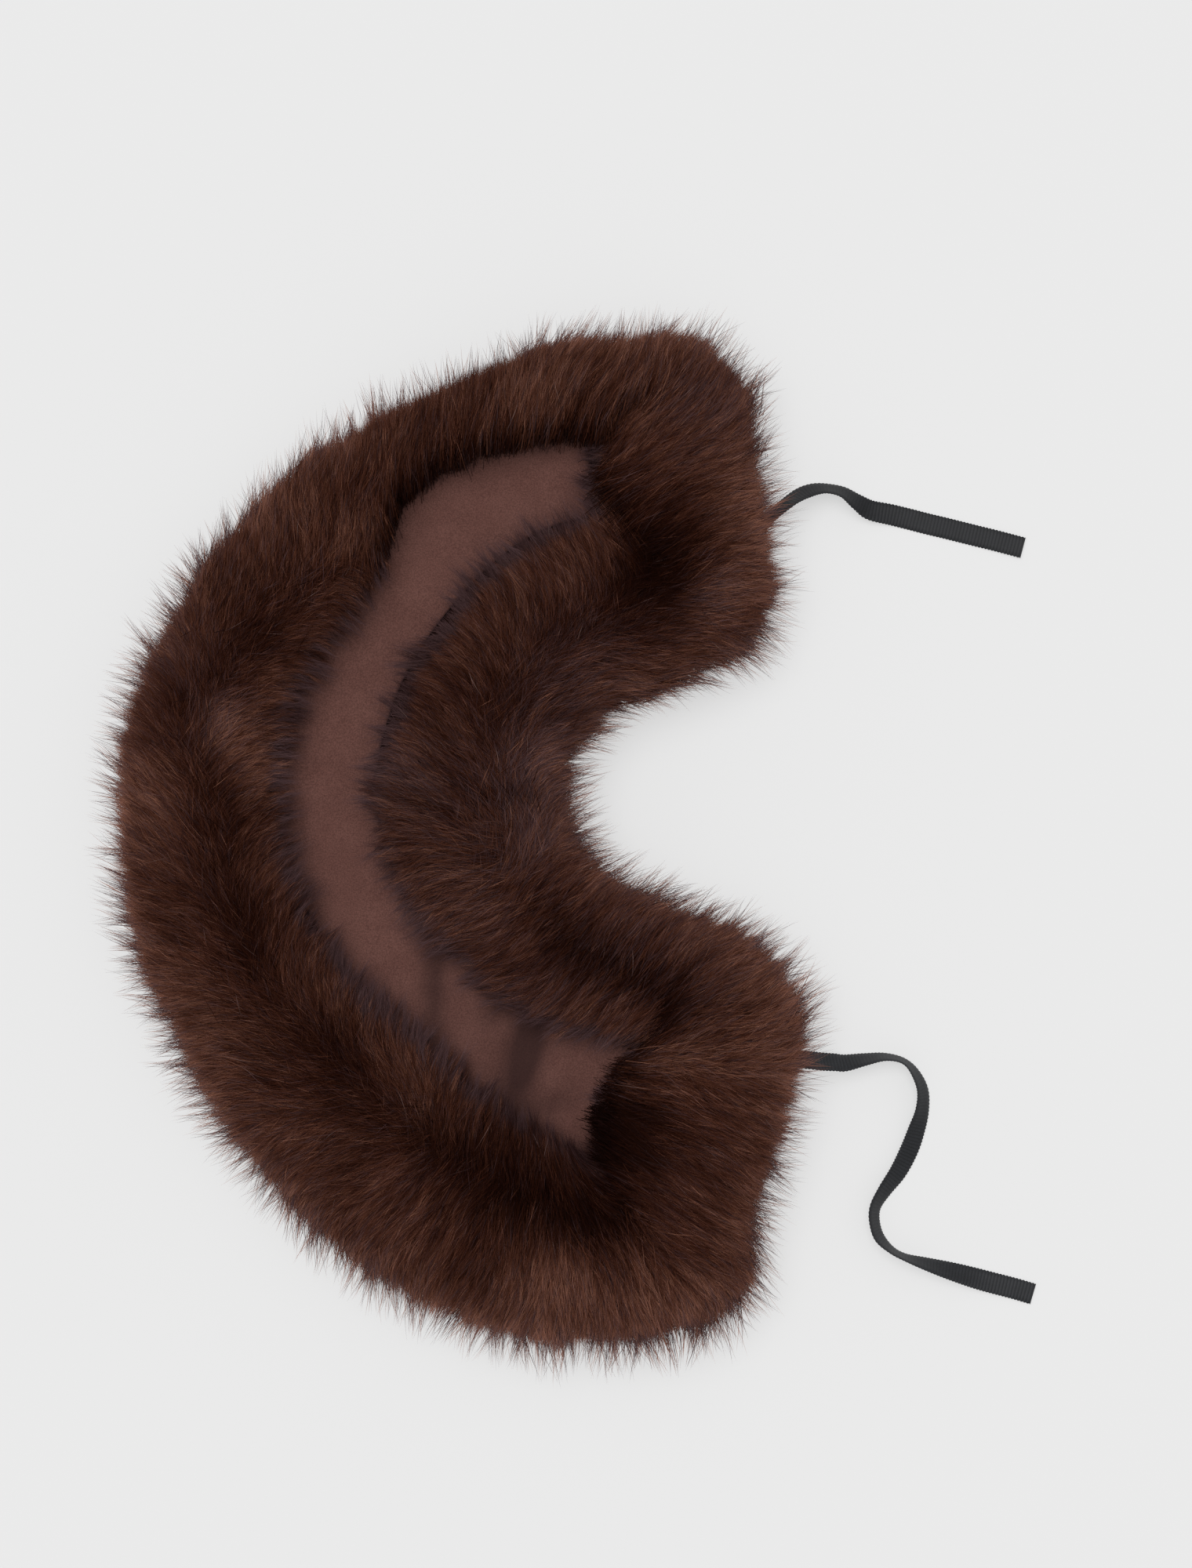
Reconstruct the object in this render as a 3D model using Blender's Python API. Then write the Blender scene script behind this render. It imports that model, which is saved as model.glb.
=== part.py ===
"""Fur collar wrap, laid flat with its lining up.

A deep-pile collar cut as an open C. The fur outer panel lies face down, its fur is turned over to
the lining side along the outer edge, the neck edge and both ends, a lining fills the middle, and a
ribbon tie leaves each end. +X is the side where the neck opens, +Y the upper end, +Z up, and the
collar rests on z = 0 with the middle of its outline over the origin.
"""
import math

import bmesh
import bpy
import numpy as np

MM = 0.001

# ---------------------------------------------------------------- driving sizes, in metres
FOLD_HEIGHT = 0.016  # pile squashed under the collar, up to the fold where the fur turns over
RIM_ROUNDING = 0.024  # how far the underside draws in below the fold before it lies flat
HAIR_REACH = 0.003  # fine hair tips past the edge of the cut
SEAM_GAP = 0.0003  # between pieces that are sewn or lie together
LINING_THICKNESS = 0.0015
HAIR_OVERHANG = 0.008  # hair of the turned-over fur that reaches out over the lining
OVERHANG_HEIGHT = 0.009  # height of those hair tips over the fold
STEEPEST_OVERHANG = 0.6  # least cosine between a roll's section and the direction across its edge
SHARP_ANGLE = math.radians(50)  # edges that turn more than this stay crisp
LINING_INSET = 0.0032  # lining edge, from the seam hidden under the overhanging hair
LINING_END_INSET = 0.0053  # and the same at its two ends, which cross the collar aslant
LINING_CORNER = 0.010  # radius of the lining's corners
ROLL_FULLNESS = 2.3  # 2 gives a round roll, more gives fuller shoulders
RIBBON_WIDTH = 0.010
RIBBON_THICKNESS = 0.001
TABLE_CLEARANCE = 0.0001  # between the ribbon and the surface it lies on

# ---------------------------------------------------------------- the cut, a row for each section
# The sections cross the collar from its outer edge to its neck edge and follow each other from the
# upper end to the lower end. The turns are how far the turned-over fur reaches in from each edge.
SECTION_COLUMNS = ("outer_x", "outer_y", "neck_x", "neck_y", "outer_turn", "neck_turn")
SECTIONS_MM = (
    (141, 238, 154, 82, 59, 94),
    (54, 238, 128, 77, 59, 94),
    (-26, 210, 103, 69, 52, 109),
    (-95, 162, 78, 58, 68, 106),
    (-148, 94, 60, 39, 83, 104),
    (-164, 7, 61, 14, 87, 109),
    (-147, -78, 76, -8, 101, 101),
    (-103, -152, 99, -22, 101, 99),
    (-38, -210, 123, -32, 108, 84),
    (46, -242, 146, -46, 88, 74),
    (135, -238, 171, -56, 88, 74),
)
LAST_SECTION = len(SECTIONS_MM) - 1
SECTION_SPACING = 0.062  # from one section to the next along the middle of the lining

# Corners in the order upper outer, lower outer, lower neck, upper neck, of the fur's outline and of
# the lining that shows, which starts and stops at a section. Each cut is where the rounding of the
# corner starts: in sections along the edge, and as a share of the end.
CORNER_COLUMNS = ("outline_edge", "outline_end", "lining_at", "lining_edge", "lining_end")
CORNERS = (
    (0.42, 0.24, 1.36, 0.12, 0.20),
    (0.40, 0.20, 8.52, 0.12, 0.14),
    (1.10, 0.22, 8.12, 0.20, 0.14),
    (0.90, 0.20, 1.60, 0.20, 0.20),
)

# Turned-over fur in the order outer edge, lower end, neck edge, upper end. Ridge is where the hair
# parts, as a share of the roll's width from its outside, and height is the roll over the fold.
ROLL_COLUMNS = ("ridge", "height_mm")
ROLLS = ((0.60, 32.0), (0.50, 31.0), (0.52, 35.0), (0.52, 31.0))
MITRE_DIP = 0.24  # share of a roll's height that is lost in the valley where two rolls meet
MITRE_REACH = 0.55  # how far that valley reaches, as a share of the corner

# Soft unevenness of the pile: waves round the whole collar, their size and their phase.
PILE_WAVES = ((13, 0.020, 0.4), (22, 0.016, 2.1), (37, 0.012, 4.0))
EDGE_WAVE_REACH = 0.045  # a wave's size times this is how far it moves the outline, in metres

# Creases of the lining: along is in sections, across is the share of the lining's width from its
# outer side, and angle turns the crease's length away from the collar's length.
CREASE_COLUMNS = ("along", "across", "length_mm", "width_mm", "height_mm", "angle_deg")
CREASES = (
    (6.45, 0.50, 46, 17, 1.8, -55),
    (7.12, 0.48, 58, 20, 2.8, -52),
    (7.80, 0.45, 66, 20, 3.4, -56),
    (8.25, 0.60, 30, 14, 1.4, -20),
    (2.55, 0.55, 40, 20, 1.2, 35),
)
CREASE_AIM = 0.1  # sections ahead of a crease's middle, between which the collar's length is read
CREASE_FADE_ACROSS = 0.22  # share of the lining's width over which a crease dies out at its edge
CREASE_FADE_END = 0.020  # and the length over which it dies out at an end

# Steps round the collar and over a roll.
OUTER_STEPS = 56
NECK_STEPS = 32
END_STEPS = 10
CORNER_STEPS = 8
ROLL_STEPS = 5
RIM_STEPS = 4
LINING_ALONG_STEPS = 92
LINING_ACROSS_STEPS = 9
RIBBON_STEPS = 3

# Ribbon ties: the middle of the ribbon, its tilt about its own length with the right-hand edge
# raised (seen along its run, away from the collar), and how far its lower edge is off the table.
TIE_COLUMNS = ("x", "y", "tilt_deg", "lift")
UPPER_TIE_MM = (
    (149.8, 155.1, 54, 8.8),
    (154.8, 158.7, 51, 6.4),
    (159.5, 161.2, 49, 4.6),
    (164.5, 162.7, 54, 3.2),
    (170.0, 162.9, 60, 2.4),
    (177.0, 161.2, 55, 1.7),
    (183.6, 156.8, 38, 1.0),
    (189.8, 153.3, 17, 0.4),
    (199.7, 151.2, 4, 0.1),
    (208.0, 149.2, 0, 0.0),
    (216.1, 147.1, 0, 0.0),
    (224.5, 145.1, 0, 0.0),
    (232.5, 143.1, 0, 0.0),
    (240.5, 141.1, 0, 0.1),
    (248.6, 139.1, 1, 0.2),
    (261.0, 135.8, 2, 0.3),
)
LOWER_TIE_MM = (
    (162.8, -101.8, 38, 10.0),
    (167.0, -102.4, 38, 8.0),
    (172.8, -102.9, 40, 5.6),
    (178.1, -103.3, 44, 3.4),
    (187.2, -101.8, 60, 1.4),
    (196.7, -100.7, 74, 0.4),
    (205.0, -102.6, 77, 0.0),
    (210.4, -108.0, 66, 0.0),
    (214.0, -116.3, 55, 0.0),
    (213.8, -125.6, 46, 0.0),
    (211.2, -135.0, 32, 0.0),
    (207.9, -144.2, 25, 0.0),
    (202.9, -154.0, 30, 0.0),
    (196.5, -162.8, 44, 0.0),
    (192.2, -170.1, 54, 0.0),
    (191.6, -176.7, 58, 0.0),
    (193.8, -184.3, 61, 0.0),
    (199.4, -190.2, 74, 0.0),
    (205.9, -193.8, 76, 0.0),
    (215.4, -196.9, 60, 0.0),
    (229.2, -201.0, 36, 0.0),
    (243.1, -205.1, 14, 0.0),
    (257.0, -208.8, 6, 0.0),
    (265.7, -211.4, 2, 0.0),
)

# Colours are linear.
FINISHES = {
    "fur": ((0.060, 0.022, 0.014), 0.78),
    "fur_underside": ((0.050, 0.019, 0.012), 0.82),
    "suedette_lining": ((0.107, 0.060, 0.048), 0.92),
    "petersham_ribbon": ((0.026, 0.028, 0.032), 0.70),
}


def clear_scene():
    """Removes every object, so that the script can be run again."""
    for item in list(bpy.data.objects):
        bpy.data.objects.remove(item)


def finish(name):
    """The material of that name, made on first use."""
    made = bpy.data.materials.get(name)
    if made:
        return made
    colour, roughness = FINISHES[name]
    made = bpy.data.materials.new(name)
    made.use_nodes = True
    surface = made.node_tree.nodes["Principled BSDF"]
    surface.inputs["Base Color"].default_value = (*colour, 1.0)
    surface.inputs["Roughness"].default_value = roughness
    surface.inputs["Metallic"].default_value = 0.0
    return made


def smooth_between(rows, at):
    """Reads a table column, or several, between its rows on a Catmull-Rom curve."""
    rows = np.asarray(rows, float)
    before = 2 * rows[0] - rows[1]
    after = 2 * rows[-1] - rows[-2]
    padded = np.vstack([before[None], rows, after[None]])
    at = np.atleast_1d(np.asarray(at, float))
    first = np.clip(np.floor(at).astype(int), 0, len(rows) - 2)
    t = (at - first)[:, None]
    a, b, c, d = (padded[first + step] for step in range(4))
    square = 2 * a - 5 * b + 4 * c - d
    cube = 3 * b - a - 3 * c + d
    return 0.5 * (2 * b + (c - a) * t + square * t**2 + cube * t**3)


def columns(table, names, *wanted):
    """The wanted columns of a table, side by side."""
    return np.asarray(table, float)[:, [names.index(name) for name in wanted]]


def band(along, share):
    """Plan points of the collar: along in sections, share from the outer edge to the neck edge."""
    outer = smooth_between(columns(SECTIONS_MM, SECTION_COLUMNS, "outer_x", "outer_y"), along) * MM
    neck = smooth_between(columns(SECTIONS_MM, SECTION_COLUMNS, "neck_x", "neck_y"), along) * MM
    return outer + (neck - outer) * np.atleast_1d(share)[:, None]


def band_width(along):
    """Length of the section, from the outer edge to the neck edge."""
    return np.linalg.norm(band(along, 1.0) - band(along, 0.0), axis=1)


def turn_share(along, edge, shorter=0.0):
    """Where the turned-over fur of an edge stops, less a length, as a share of the section."""
    turn = smooth_between(columns(SECTIONS_MM, SECTION_COLUMNS, edge + "_turn"), along)[:, 0] * MM
    reach = (turn - shorter) / band_width(along)
    return reach if edge == "outer" else 1 - reach


def rounded(before, corner, after):
    """The steps of a corner, on a curve that leaves one side and joins the next."""
    t = np.linspace(0, 1, CORNER_STEPS + 1)[1:-1, None]
    return (1 - t) ** 2 * before + 2 * t * (1 - t) * corner + t**2 * after


def ring(corner_along, edge_cuts, end_cuts, outer_share, neck_share):
    """Stations round the collar, as rows of along and share: outer edge, lower end, neck edge,
    upper end, with a rounded corner after each."""
    corners = [
        np.array([along, float(share(along)[0])])
        for along, share in zip(corner_along, (outer_share, outer_share, neck_share, neck_share))
    ]
    upper_outer, lower_outer, lower_neck, upper_neck = corners
    outer = np.linspace(upper_outer[0] + edge_cuts[0], lower_outer[0] - edge_cuts[1], OUTER_STEPS + 1)
    neck = np.linspace(lower_neck[0] - edge_cuts[2], upper_neck[0] + edge_cuts[3], NECK_STEPS + 1)
    lower = np.linspace(end_cuts[1], 1 - end_cuts[2], END_STEPS + 1)[:, None]
    upper = np.linspace(end_cuts[3], 1 - end_cuts[0], END_STEPS + 1)[:, None]
    sides = [
        np.column_stack([outer, outer_share(outer)]),
        lower_outer + (lower_neck - lower_outer) * lower,
        np.column_stack([neck, neck_share(neck)]),
        upper_neck + (upper_outer - upper_neck) * upper,
    ]
    turning = [lower_outer, lower_neck, upper_neck, upper_outer]
    stations = []
    for number, side in enumerate(sides):
        stations.append(side)
        following = sides[(number + 1) % len(sides)]
        stations.append(rounded(side[-1], turning[number], following[0]))
    return np.vstack(stations)


def side_starts():
    """The first station of each side, and the number of stations round the collar."""
    lengths = [OUTER_STEPS + 1, END_STEPS + 1, NECK_STEPS + 1, END_STEPS + 1]
    starts = [0]
    for length in lengths:
        starts.append(starts[-1] + length + CORNER_STEPS - 1)
    return starts[:-1], starts[-1], lengths


def mitres():
    """The station in the middle of each corner, in the order of the sides that end there."""
    starts, _, lengths = side_starts()
    return [start + length - 1 + CORNER_STEPS // 2 for start, length in zip(starts, lengths)]


def along_sides(values):
    """One value for each station: level along each side, and easing to the next in the corner."""
    starts, count, lengths = side_starts()
    result = np.empty(count)
    for number, (start, length) in enumerate(zip(starts, lengths)):
        following = values[(number + 1) % len(values)]
        result[start : start + length] = values[number]
        t = np.linspace(0, 1, CORNER_STEPS + 1)[1:-1]
        eased = t * t * (3 - 2 * t)
        corner = slice(start + length, start + length + CORNER_STEPS - 1)
        result[corner] = values[number] + (following - values[number]) * eased
    return result


def pile_waves(count):
    """Soft swelling of the pile at each station, as a share of its height."""
    turn = np.arange(count) / count * 2 * math.pi
    return sum(size * np.sin(number * turn + phase) for number, size, phase in PILE_WAVES)


def sideways(loop):
    """The direction across a closed loop of plan points, at each of them."""
    run = np.roll(loop, -1, axis=0) - np.roll(loop, 1, axis=0)
    run /= np.linalg.norm(run, axis=1)[:, None]
    return np.column_stack([-run[:, 1], run[:, 0]])


def collar_plan():
    """The outline of the fur, the edge of the hair over the lining, the directions from the one to
    the other, and how far along them the hair stands over the seam, for an even overhang."""
    outline_edge, outline_end, lining_at, lining_edge, lining_end = np.array(CORNERS).T
    outline = band(
        *ring(
            (0, LAST_SECTION, LAST_SECTION, 0),
            outline_edge,
            outline_end,
            lambda along: np.zeros(np.size(along)),
            lambda along: np.ones(np.size(along)),
        ).T
    )
    hair_edge = band(
        *ring(
            lining_at,
            lining_edge,
            lining_end,
            lambda along: turn_share(along, "outer"),
            lambda along: turn_share(along, "neck"),
        ).T
    )
    inward = hair_edge - outline
    inward /= np.linalg.norm(inward, axis=1)[:, None]
    squareness = np.abs((inward * sideways(hair_edge)).sum(axis=1))
    overhang = HAIR_OVERHANG / squareness.clip(STEEPEST_OVERHANG)
    outline = outline - inward * (HAIR_REACH + pile_waves(len(outline)) * EDGE_WAVE_REACH)[:, None]
    return outline, hair_edge, inward, overhang


def centre_of(outline):
    """The middle of the outline's box, which becomes the origin."""
    return (outline.min(axis=0) + outline.max(axis=0)) / 2


def add_object(name, mesh, material):
    """A smooth-shaded object with its own material."""
    mesh.materials.append(finish(material))
    mesh.shade_smooth()
    mesh.set_sharp_from_angle(angle=SHARP_ANGLE)
    item = bpy.data.objects.new(name, mesh)
    bpy.context.scene.collection.objects.link(item)
    return item


def lofted(name, rings, material):
    """A closed body through loops of points of equal number, filled at its first and last loop."""
    body = bmesh.new()
    loops = [[body.verts.new(point) for point in points] for points in rings]
    body.faces.new(loops[0])
    body.faces.new(loops[-1])
    for lower, upper in zip(loops[:-1], loops[1:]):
        for number, vertex in enumerate(lower):
            after = (number + 1) % len(lower)
            body.faces.new((vertex, lower[after], upper[after], upper[number]))
    bmesh.ops.recalc_face_normals(body, faces=body.faces)
    mesh = bpy.data.meshes.new(name)
    body.to_mesh(mesh)
    body.free()
    return add_object(name, mesh, material)


def at_height(plan, height):
    """Plan points raised to a height."""
    return np.column_stack([plan, np.broadcast_to(height, len(plan))])


def make_outer_panel(outline, inward):
    """The fur that lies face down: flat where it rests, rounded up to the fold all the way round."""
    rings = []
    for turn in np.linspace(math.pi / 2, 0, RIM_STEPS + 1):
        inset = RIM_ROUNDING * (1 - math.cos(turn))
        height = FOLD_HEIGHT * (1 - math.sin(turn) ** ROLL_FULLNESS)
        rings.append(at_height(outline + inward * inset, height))
    lofted("fur_outer_panel", rings, "fur_underside")


def roll_profile(reach, overhang, ridge, height):
    """A roll's section as rows of distance from the outline and height over the fold: up the
    outside, over the ridge, down to the hair tips over the lining and back under to the seam."""
    turn = np.linspace(0, math.pi / 2, ROLL_STEPS + 1)
    power = 2 / ROLL_FULLNESS
    rising = np.column_stack(
        [reach * ridge * (1 - np.cos(turn) ** power), height * np.sin(turn) ** power]
    )
    falling = np.column_stack(
        [
            reach * (ridge + (1 - ridge) * np.sin(turn) ** power),
            OVERHANG_HEIGHT + (height - OVERHANG_HEIGHT) * np.cos(turn) ** power,
        ]
    )
    return np.vstack([rising, falling[1:], [reach - overhang, 0.0]])


def make_turned_over_fur(outline, hair_edge, inward, overhang):
    """The four rolls of turned-over fur, mitred at the corners of the collar."""
    count = len(outline)
    ridge, height = (along_sides(column) for column in columns(ROLLS, ROLL_COLUMNS, *ROLL_COLUMNS).T)
    height = height * MM * (1 + pile_waves(count))
    corners = mitres()
    for station in corners:
        away = (np.arange(count) - station + count / 2) % count - count / 2
        height = height * (1 - MITRE_DIP * np.exp(-((away / (CORNER_STEPS * MITRE_REACH)) ** 2)))
    reach = np.linalg.norm(hair_edge - outline, axis=1)
    base = FOLD_HEIGHT + SEAM_GAP
    for number, name in enumerate(("outer", "end_lower", "neck", "end_upper")):
        first, last = corners[number - 1], corners[number]
        if last < first:
            last += count
        rings = []
        for station in range(first, last + 1):
            here = station % count
            profile = roll_profile(reach[here], overhang[here], ridge[here], height[here])
            plan = outline[here] + inward[here] * profile[:, :1]
            if station in (first, last):
                side = np.array([-inward[here][1], inward[here][0]])
                onward = outline[(here + 1) % count] - outline[here - 1]
                side *= math.copysign(1, side @ onward) * (1 if station == first else -1)
                plan = plan + side * SEAM_GAP / 2
            rings.append(np.column_stack([plan, base + profile[:, 1]]))
        lofted("fur_turnover_" + name, rings, "fur")


def crease_heights(plan, across, to_end):
    """How far the lining stands off the panel: soft ridges, level at the lining's own edges."""
    height = np.zeros(len(plan))
    for row in CREASES:
        crease = dict(zip(CREASE_COLUMNS, row))
        stretch = crease["along"] + np.array([0, CREASE_AIM])
        middle, ahead = lining_point(stretch, crease["across"])
        run = math.atan2(*(ahead - middle)[::-1]) + math.radians(crease["angle_deg"])
        offset = plan - middle
        lengthwise = offset @ (math.cos(run), math.sin(run)) / (crease["length_mm"] * MM / 2)
        crosswise = offset @ (-math.sin(run), math.cos(run)) / (crease["width_mm"] * MM / 2)
        height += crease["height_mm"] * MM * np.exp(-(lengthwise**2) - crosswise**2)
    from_edge = np.clip(np.minimum(across, 1 - across) / CREASE_FADE_ACROSS, 0, 1)
    from_end = np.clip(to_end / CREASE_FADE_END, 0, 1)
    return height * from_edge * from_end


def lining_point(along, across, narrower=0.0):
    """Plan points of the lining, across from its outer side to its neck side."""
    hidden = HAIR_OVERHANG - LINING_INSET - narrower
    outer = turn_share(along, "outer", hidden)
    neck = turn_share(along, "neck", hidden)
    return band(along, outer + (neck - outer) * across)


def make_lining(centre):
    """The lining: one wall of cloth on the panel, with its creases, under the overhanging hair."""
    upper_outer, lower_outer, lower_neck, upper_neck = columns(CORNERS, CORNER_COLUMNS, "lining_at")
    hidden = (HAIR_OVERHANG - LINING_END_INSET) / SECTION_SPACING
    across = np.linspace(0, 1, LINING_ACROSS_STEPS + 1)
    upper = upper_outer + (upper_neck - upper_outer) * across - hidden
    lower = lower_outer + (lower_neck - lower_outer) * across + hidden
    rows = []
    for t in np.linspace(0, 1, LINING_ALONG_STEPS + 1):
        along = upper + (lower - upper) * t
        to_end = min(t, 1 - t) * (lower - upper).mean() * SECTION_SPACING
        short = max(LINING_CORNER - to_end, 0)
        rounding = LINING_CORNER - math.sqrt(LINING_CORNER**2 - short**2)
        plan = lining_point(along, across, rounding)
        rows.append(np.column_stack([plan, along, across, np.full(len(along), to_end)]))
    stations = np.vstack(rows)
    height = FOLD_HEIGHT + SEAM_GAP + crease_heights(stations[:, :2], stations[:, 3], stations[:, 4])
    body = bmesh.new()
    vertices = [body.verts.new(point) for point in at_height(stations[:, :2] - centre, height)]
    wide = LINING_ACROSS_STEPS + 1
    for row in range(LINING_ALONG_STEPS):
        for step in range(LINING_ACROSS_STEPS):
            corner = row * wide + step
            turning = (corner, corner + wide, corner + wide + 1, corner + 1)
            body.faces.new([vertices[index] for index in turning])
    mesh = bpy.data.meshes.new("lining")
    body.to_mesh(mesh)
    body.free()
    item = add_object("lining", mesh, "suedette_lining")
    wall = item.modifiers.new("cloth wall", "SOLIDIFY")
    wall.thickness = LINING_THICKNESS
    wall.offset = 1.0


def make_tie(name, table, centre):
    """A flat ribbon swept along its route, turned about its length by its tilt."""
    steps = np.linspace(0, len(table) - 1, (len(table) - 1) * RIBBON_STEPS + 1)
    route = smooth_between(columns(table, TIE_COLUMNS, *TIE_COLUMNS), steps)
    tilt = np.radians(route[:, 2])
    half_width, half_thickness = RIBBON_WIDTH / 2, RIBBON_THICKNESS / 2
    lowest = half_width * np.abs(np.sin(tilt)) + half_thickness * np.abs(np.cos(tilt))
    height = lowest + np.maximum(route[:, 3] * MM, 0) + TABLE_CLEARANCE
    middle = np.column_stack([route[:, :2] * MM - centre, height])
    run = np.gradient(middle, axis=0)
    run /= np.linalg.norm(run, axis=1)[:, None]
    right = np.cross(run, (0, 0, 1))
    right /= np.linalg.norm(right, axis=1)[:, None]
    above = np.cross(right, run)
    wide = right * np.cos(tilt)[:, None] + above * np.sin(tilt)[:, None]
    thick = np.cross(wide, run)
    rings = [
        [
            place + a * half_width * w + b * half_thickness * t
            for a, b in ((-1, -1), (1, -1), (1, 1), (-1, 1))
        ]
        for place, w, t in zip(middle, wide, thick)
    ]
    lofted(name, rings, "petersham_ribbon")


def main():
    clear_scene()
    outline, hair_edge, inward, overhang = collar_plan()
    centre = centre_of(outline)
    make_outer_panel(outline - centre, inward)
    make_turned_over_fur(outline - centre, hair_edge - centre, inward, overhang)
    make_lining(centre)
    make_tie("tie_upper", UPPER_TIE_MM, centre)
    make_tie("tie_lower", LOWER_TIE_MM, centre)


main()
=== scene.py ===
# Fur collar wrap, laid flat with its lining up: the looks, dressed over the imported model.
# Plan positions use the pattern's own origin and are moved to the model's by collarCentre.
import math

import bpy
import numpy as np
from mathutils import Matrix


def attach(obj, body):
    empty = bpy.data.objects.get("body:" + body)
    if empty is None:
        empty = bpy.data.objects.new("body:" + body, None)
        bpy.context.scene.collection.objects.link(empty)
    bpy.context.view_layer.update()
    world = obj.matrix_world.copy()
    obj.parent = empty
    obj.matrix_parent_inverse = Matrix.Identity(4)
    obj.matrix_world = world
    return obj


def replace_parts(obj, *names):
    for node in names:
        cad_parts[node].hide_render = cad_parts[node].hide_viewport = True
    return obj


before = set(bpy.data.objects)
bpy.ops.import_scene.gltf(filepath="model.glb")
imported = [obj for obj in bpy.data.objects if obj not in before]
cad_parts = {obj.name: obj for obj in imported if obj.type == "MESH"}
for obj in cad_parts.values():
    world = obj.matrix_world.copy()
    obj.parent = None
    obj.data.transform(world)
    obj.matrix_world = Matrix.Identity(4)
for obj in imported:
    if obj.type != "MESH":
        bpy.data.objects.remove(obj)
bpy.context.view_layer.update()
mm = 0.001

# the cut of the collar: the same tables that shape the solids
cut = {
    "foldHeight": 16 * mm,  # of the fold, above the table
    "rimRounding": 24 * mm,  # in from the edge to where the underside lies flat
    "hairReach": 3 * mm,  # hair tips past the edge of the cut
    "seamGap": 0.3 * mm,
    "liningThickness": 1.5 * mm,
    "hairOverhang": 8 * mm,  # how far hair reaches over the lining
    "overhangHeight": 9 * mm,
    "liningInset": 3.2 * mm,
    "liningEndInset": 5.3 * mm,
    "liningCorner": 10 * mm,
    "rollFullness": 2.3,  # 2 is round, more gives fuller shoulders
    "sectionSpacing": 62 * mm,
    "outerSteps": 56,
    "neckSteps": 32,
    "endSteps": 10,
    "cornerSteps": 8,
    "mitreDip": 0.24,  # height lost where two rolls meet
    "mitreReach": 0.55,
    "edgeWaveReach": 45 * mm,
    "crispDrop": 0.7,  # share of overhangHeight lost at a crisp fold
    "rimShare": 0.35,  # share of the underside's section on the rim
    "undersidePast": 26 * mm,  # how far it runs on under the lining
    "undersideLift": 0.6 * mm,
}

# a row for each section, from the upper end to the lower end:
# outer edge x and y, neck edge x and y, fur turned over at the outer edge and at the neck edge
collarSections = np.array([
    (141, 238, 154, 82, 59, 94), (54, 238, 128, 77, 59, 94), (-26, 210, 103, 69, 52, 109),
    (-95, 162, 78, 58, 68, 106), (-148, 94, 60, 39, 83, 104), (-164, 7, 61, 14, 87, 109),
    (-147, -78, 76, -8, 101, 101), (-103, -152, 99, -22, 101, 99), (-38, -210, 123, -32, 108, 84),
    (46, -242, 146, -46, 88, 74), (135, -238, 171, -56, 88, 74),
]) * mm

# corners in the order upper outer, lower outer, lower neck, upper neck:
# outline rounding along the edge and the end, lining stop, lining rounding along the edge and the end
collarCorners = np.array([
    (0.42, 0.24, 1.36, 0.12, 0.20),
    (0.40, 0.20, 8.52, 0.12, 0.14),
    (1.10, 0.22, 8.12, 0.20, 0.14),
    (0.90, 0.20, 1.60, 0.20, 0.20),
])

furRolls = np.array([(0.60, 32), (0.50, 31), (0.52, 35), (0.52, 31)])  # ridge share and height in mm
pileWaves = ((13, 0.020, 0.4), (22, 0.016, 2.1), (37, 0.012, 4.0))  # number, size and phase


def smoothBetween(rows, at):
    # Catmull-Rom curve through the rows, read at fractional row numbers
    padded = np.vstack([2 * rows[:1] - rows[1:2], rows, 2 * rows[-1:] - rows[-2:-1]])
    first = np.clip(np.floor(at).astype(int), 0, len(rows) - 2)
    t = (at - first)[:, None]
    a, b, c, d = (padded[first + step] for step in range(4))
    return 0.5 * (2 * b + (c - a) * t + (2 * a - 5 * b + 4 * c - d) * t**2 + (3 * b - a - 3 * c + d) * t**3)


def gridOf(first, second):
    # every pair of two rows of numbers, the second one running fastest
    return (grid.ravel() for grid in np.meshgrid(first, second, indexing="ij"))


def acrossBand(along, share):
    # plan point: outer edge plus a share of the way to the neck edge, at each section number
    row = smoothBetween(collarSections, along)
    return row[:, 0:2] + (row[:, 2:4] - row[:, 0:2]) * np.reshape(share, (-1, 1))


def turnShare(along, edge, shorter=0.0):
    # where the fur turned over from an edge stops, as a share of the section
    row = smoothBetween(collarSections, along)
    width = np.linalg.norm(row[:, 2:4] - row[:, 0:2], axis=1)
    reach = (row[:, 4 if edge == "outer" else 5] - shorter) / width
    return reach if edge == "outer" else 1 - reach


def loopStations(cornerAlong, edgeCuts, endCuts, outerShare, neckShare):
    # rows of section number and share round the collar: four straight runs, each followed by a
    # corner that is a quadratic curve between the runs
    shares = (outerShare, outerShare, neckShare, neckShare)
    corners = [np.array([a, share(np.array([a]))[0]]) for a, share in zip(cornerAlong, shares)]
    outer = np.linspace(corners[0][0] + edgeCuts[0], corners[1][0] - edgeCuts[1], cut["outerSteps"] + 1)
    neck = np.linspace(corners[2][0] - edgeCuts[2], corners[3][0] + edgeCuts[3], cut["neckSteps"] + 1)
    lower = np.linspace(endCuts[1], 1 - endCuts[2], cut["endSteps"] + 1)[:, None]
    upper = np.linspace(endCuts[3], 1 - endCuts[0], cut["endSteps"] + 1)[:, None]
    sides = [
        np.column_stack([outer, outerShare(outer)]),
        corners[1] + (corners[2] - corners[1]) * lower,
        np.column_stack([neck, neckShare(neck)]),
        corners[3] + (corners[0] - corners[3]) * upper,
    ]
    t = np.linspace(0, 1, cut["cornerSteps"] + 1)[1:-1, None]
    runs = []
    for number, side in enumerate(sides):
        corner, after = corners[(number + 1) % 4], sides[(number + 1) % 4][0]
        runs += [side, (1 - t) ** 2 * side[-1] + 2 * t * (1 - t) * corner + t**2 * after]
    return np.vstack(runs)


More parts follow.
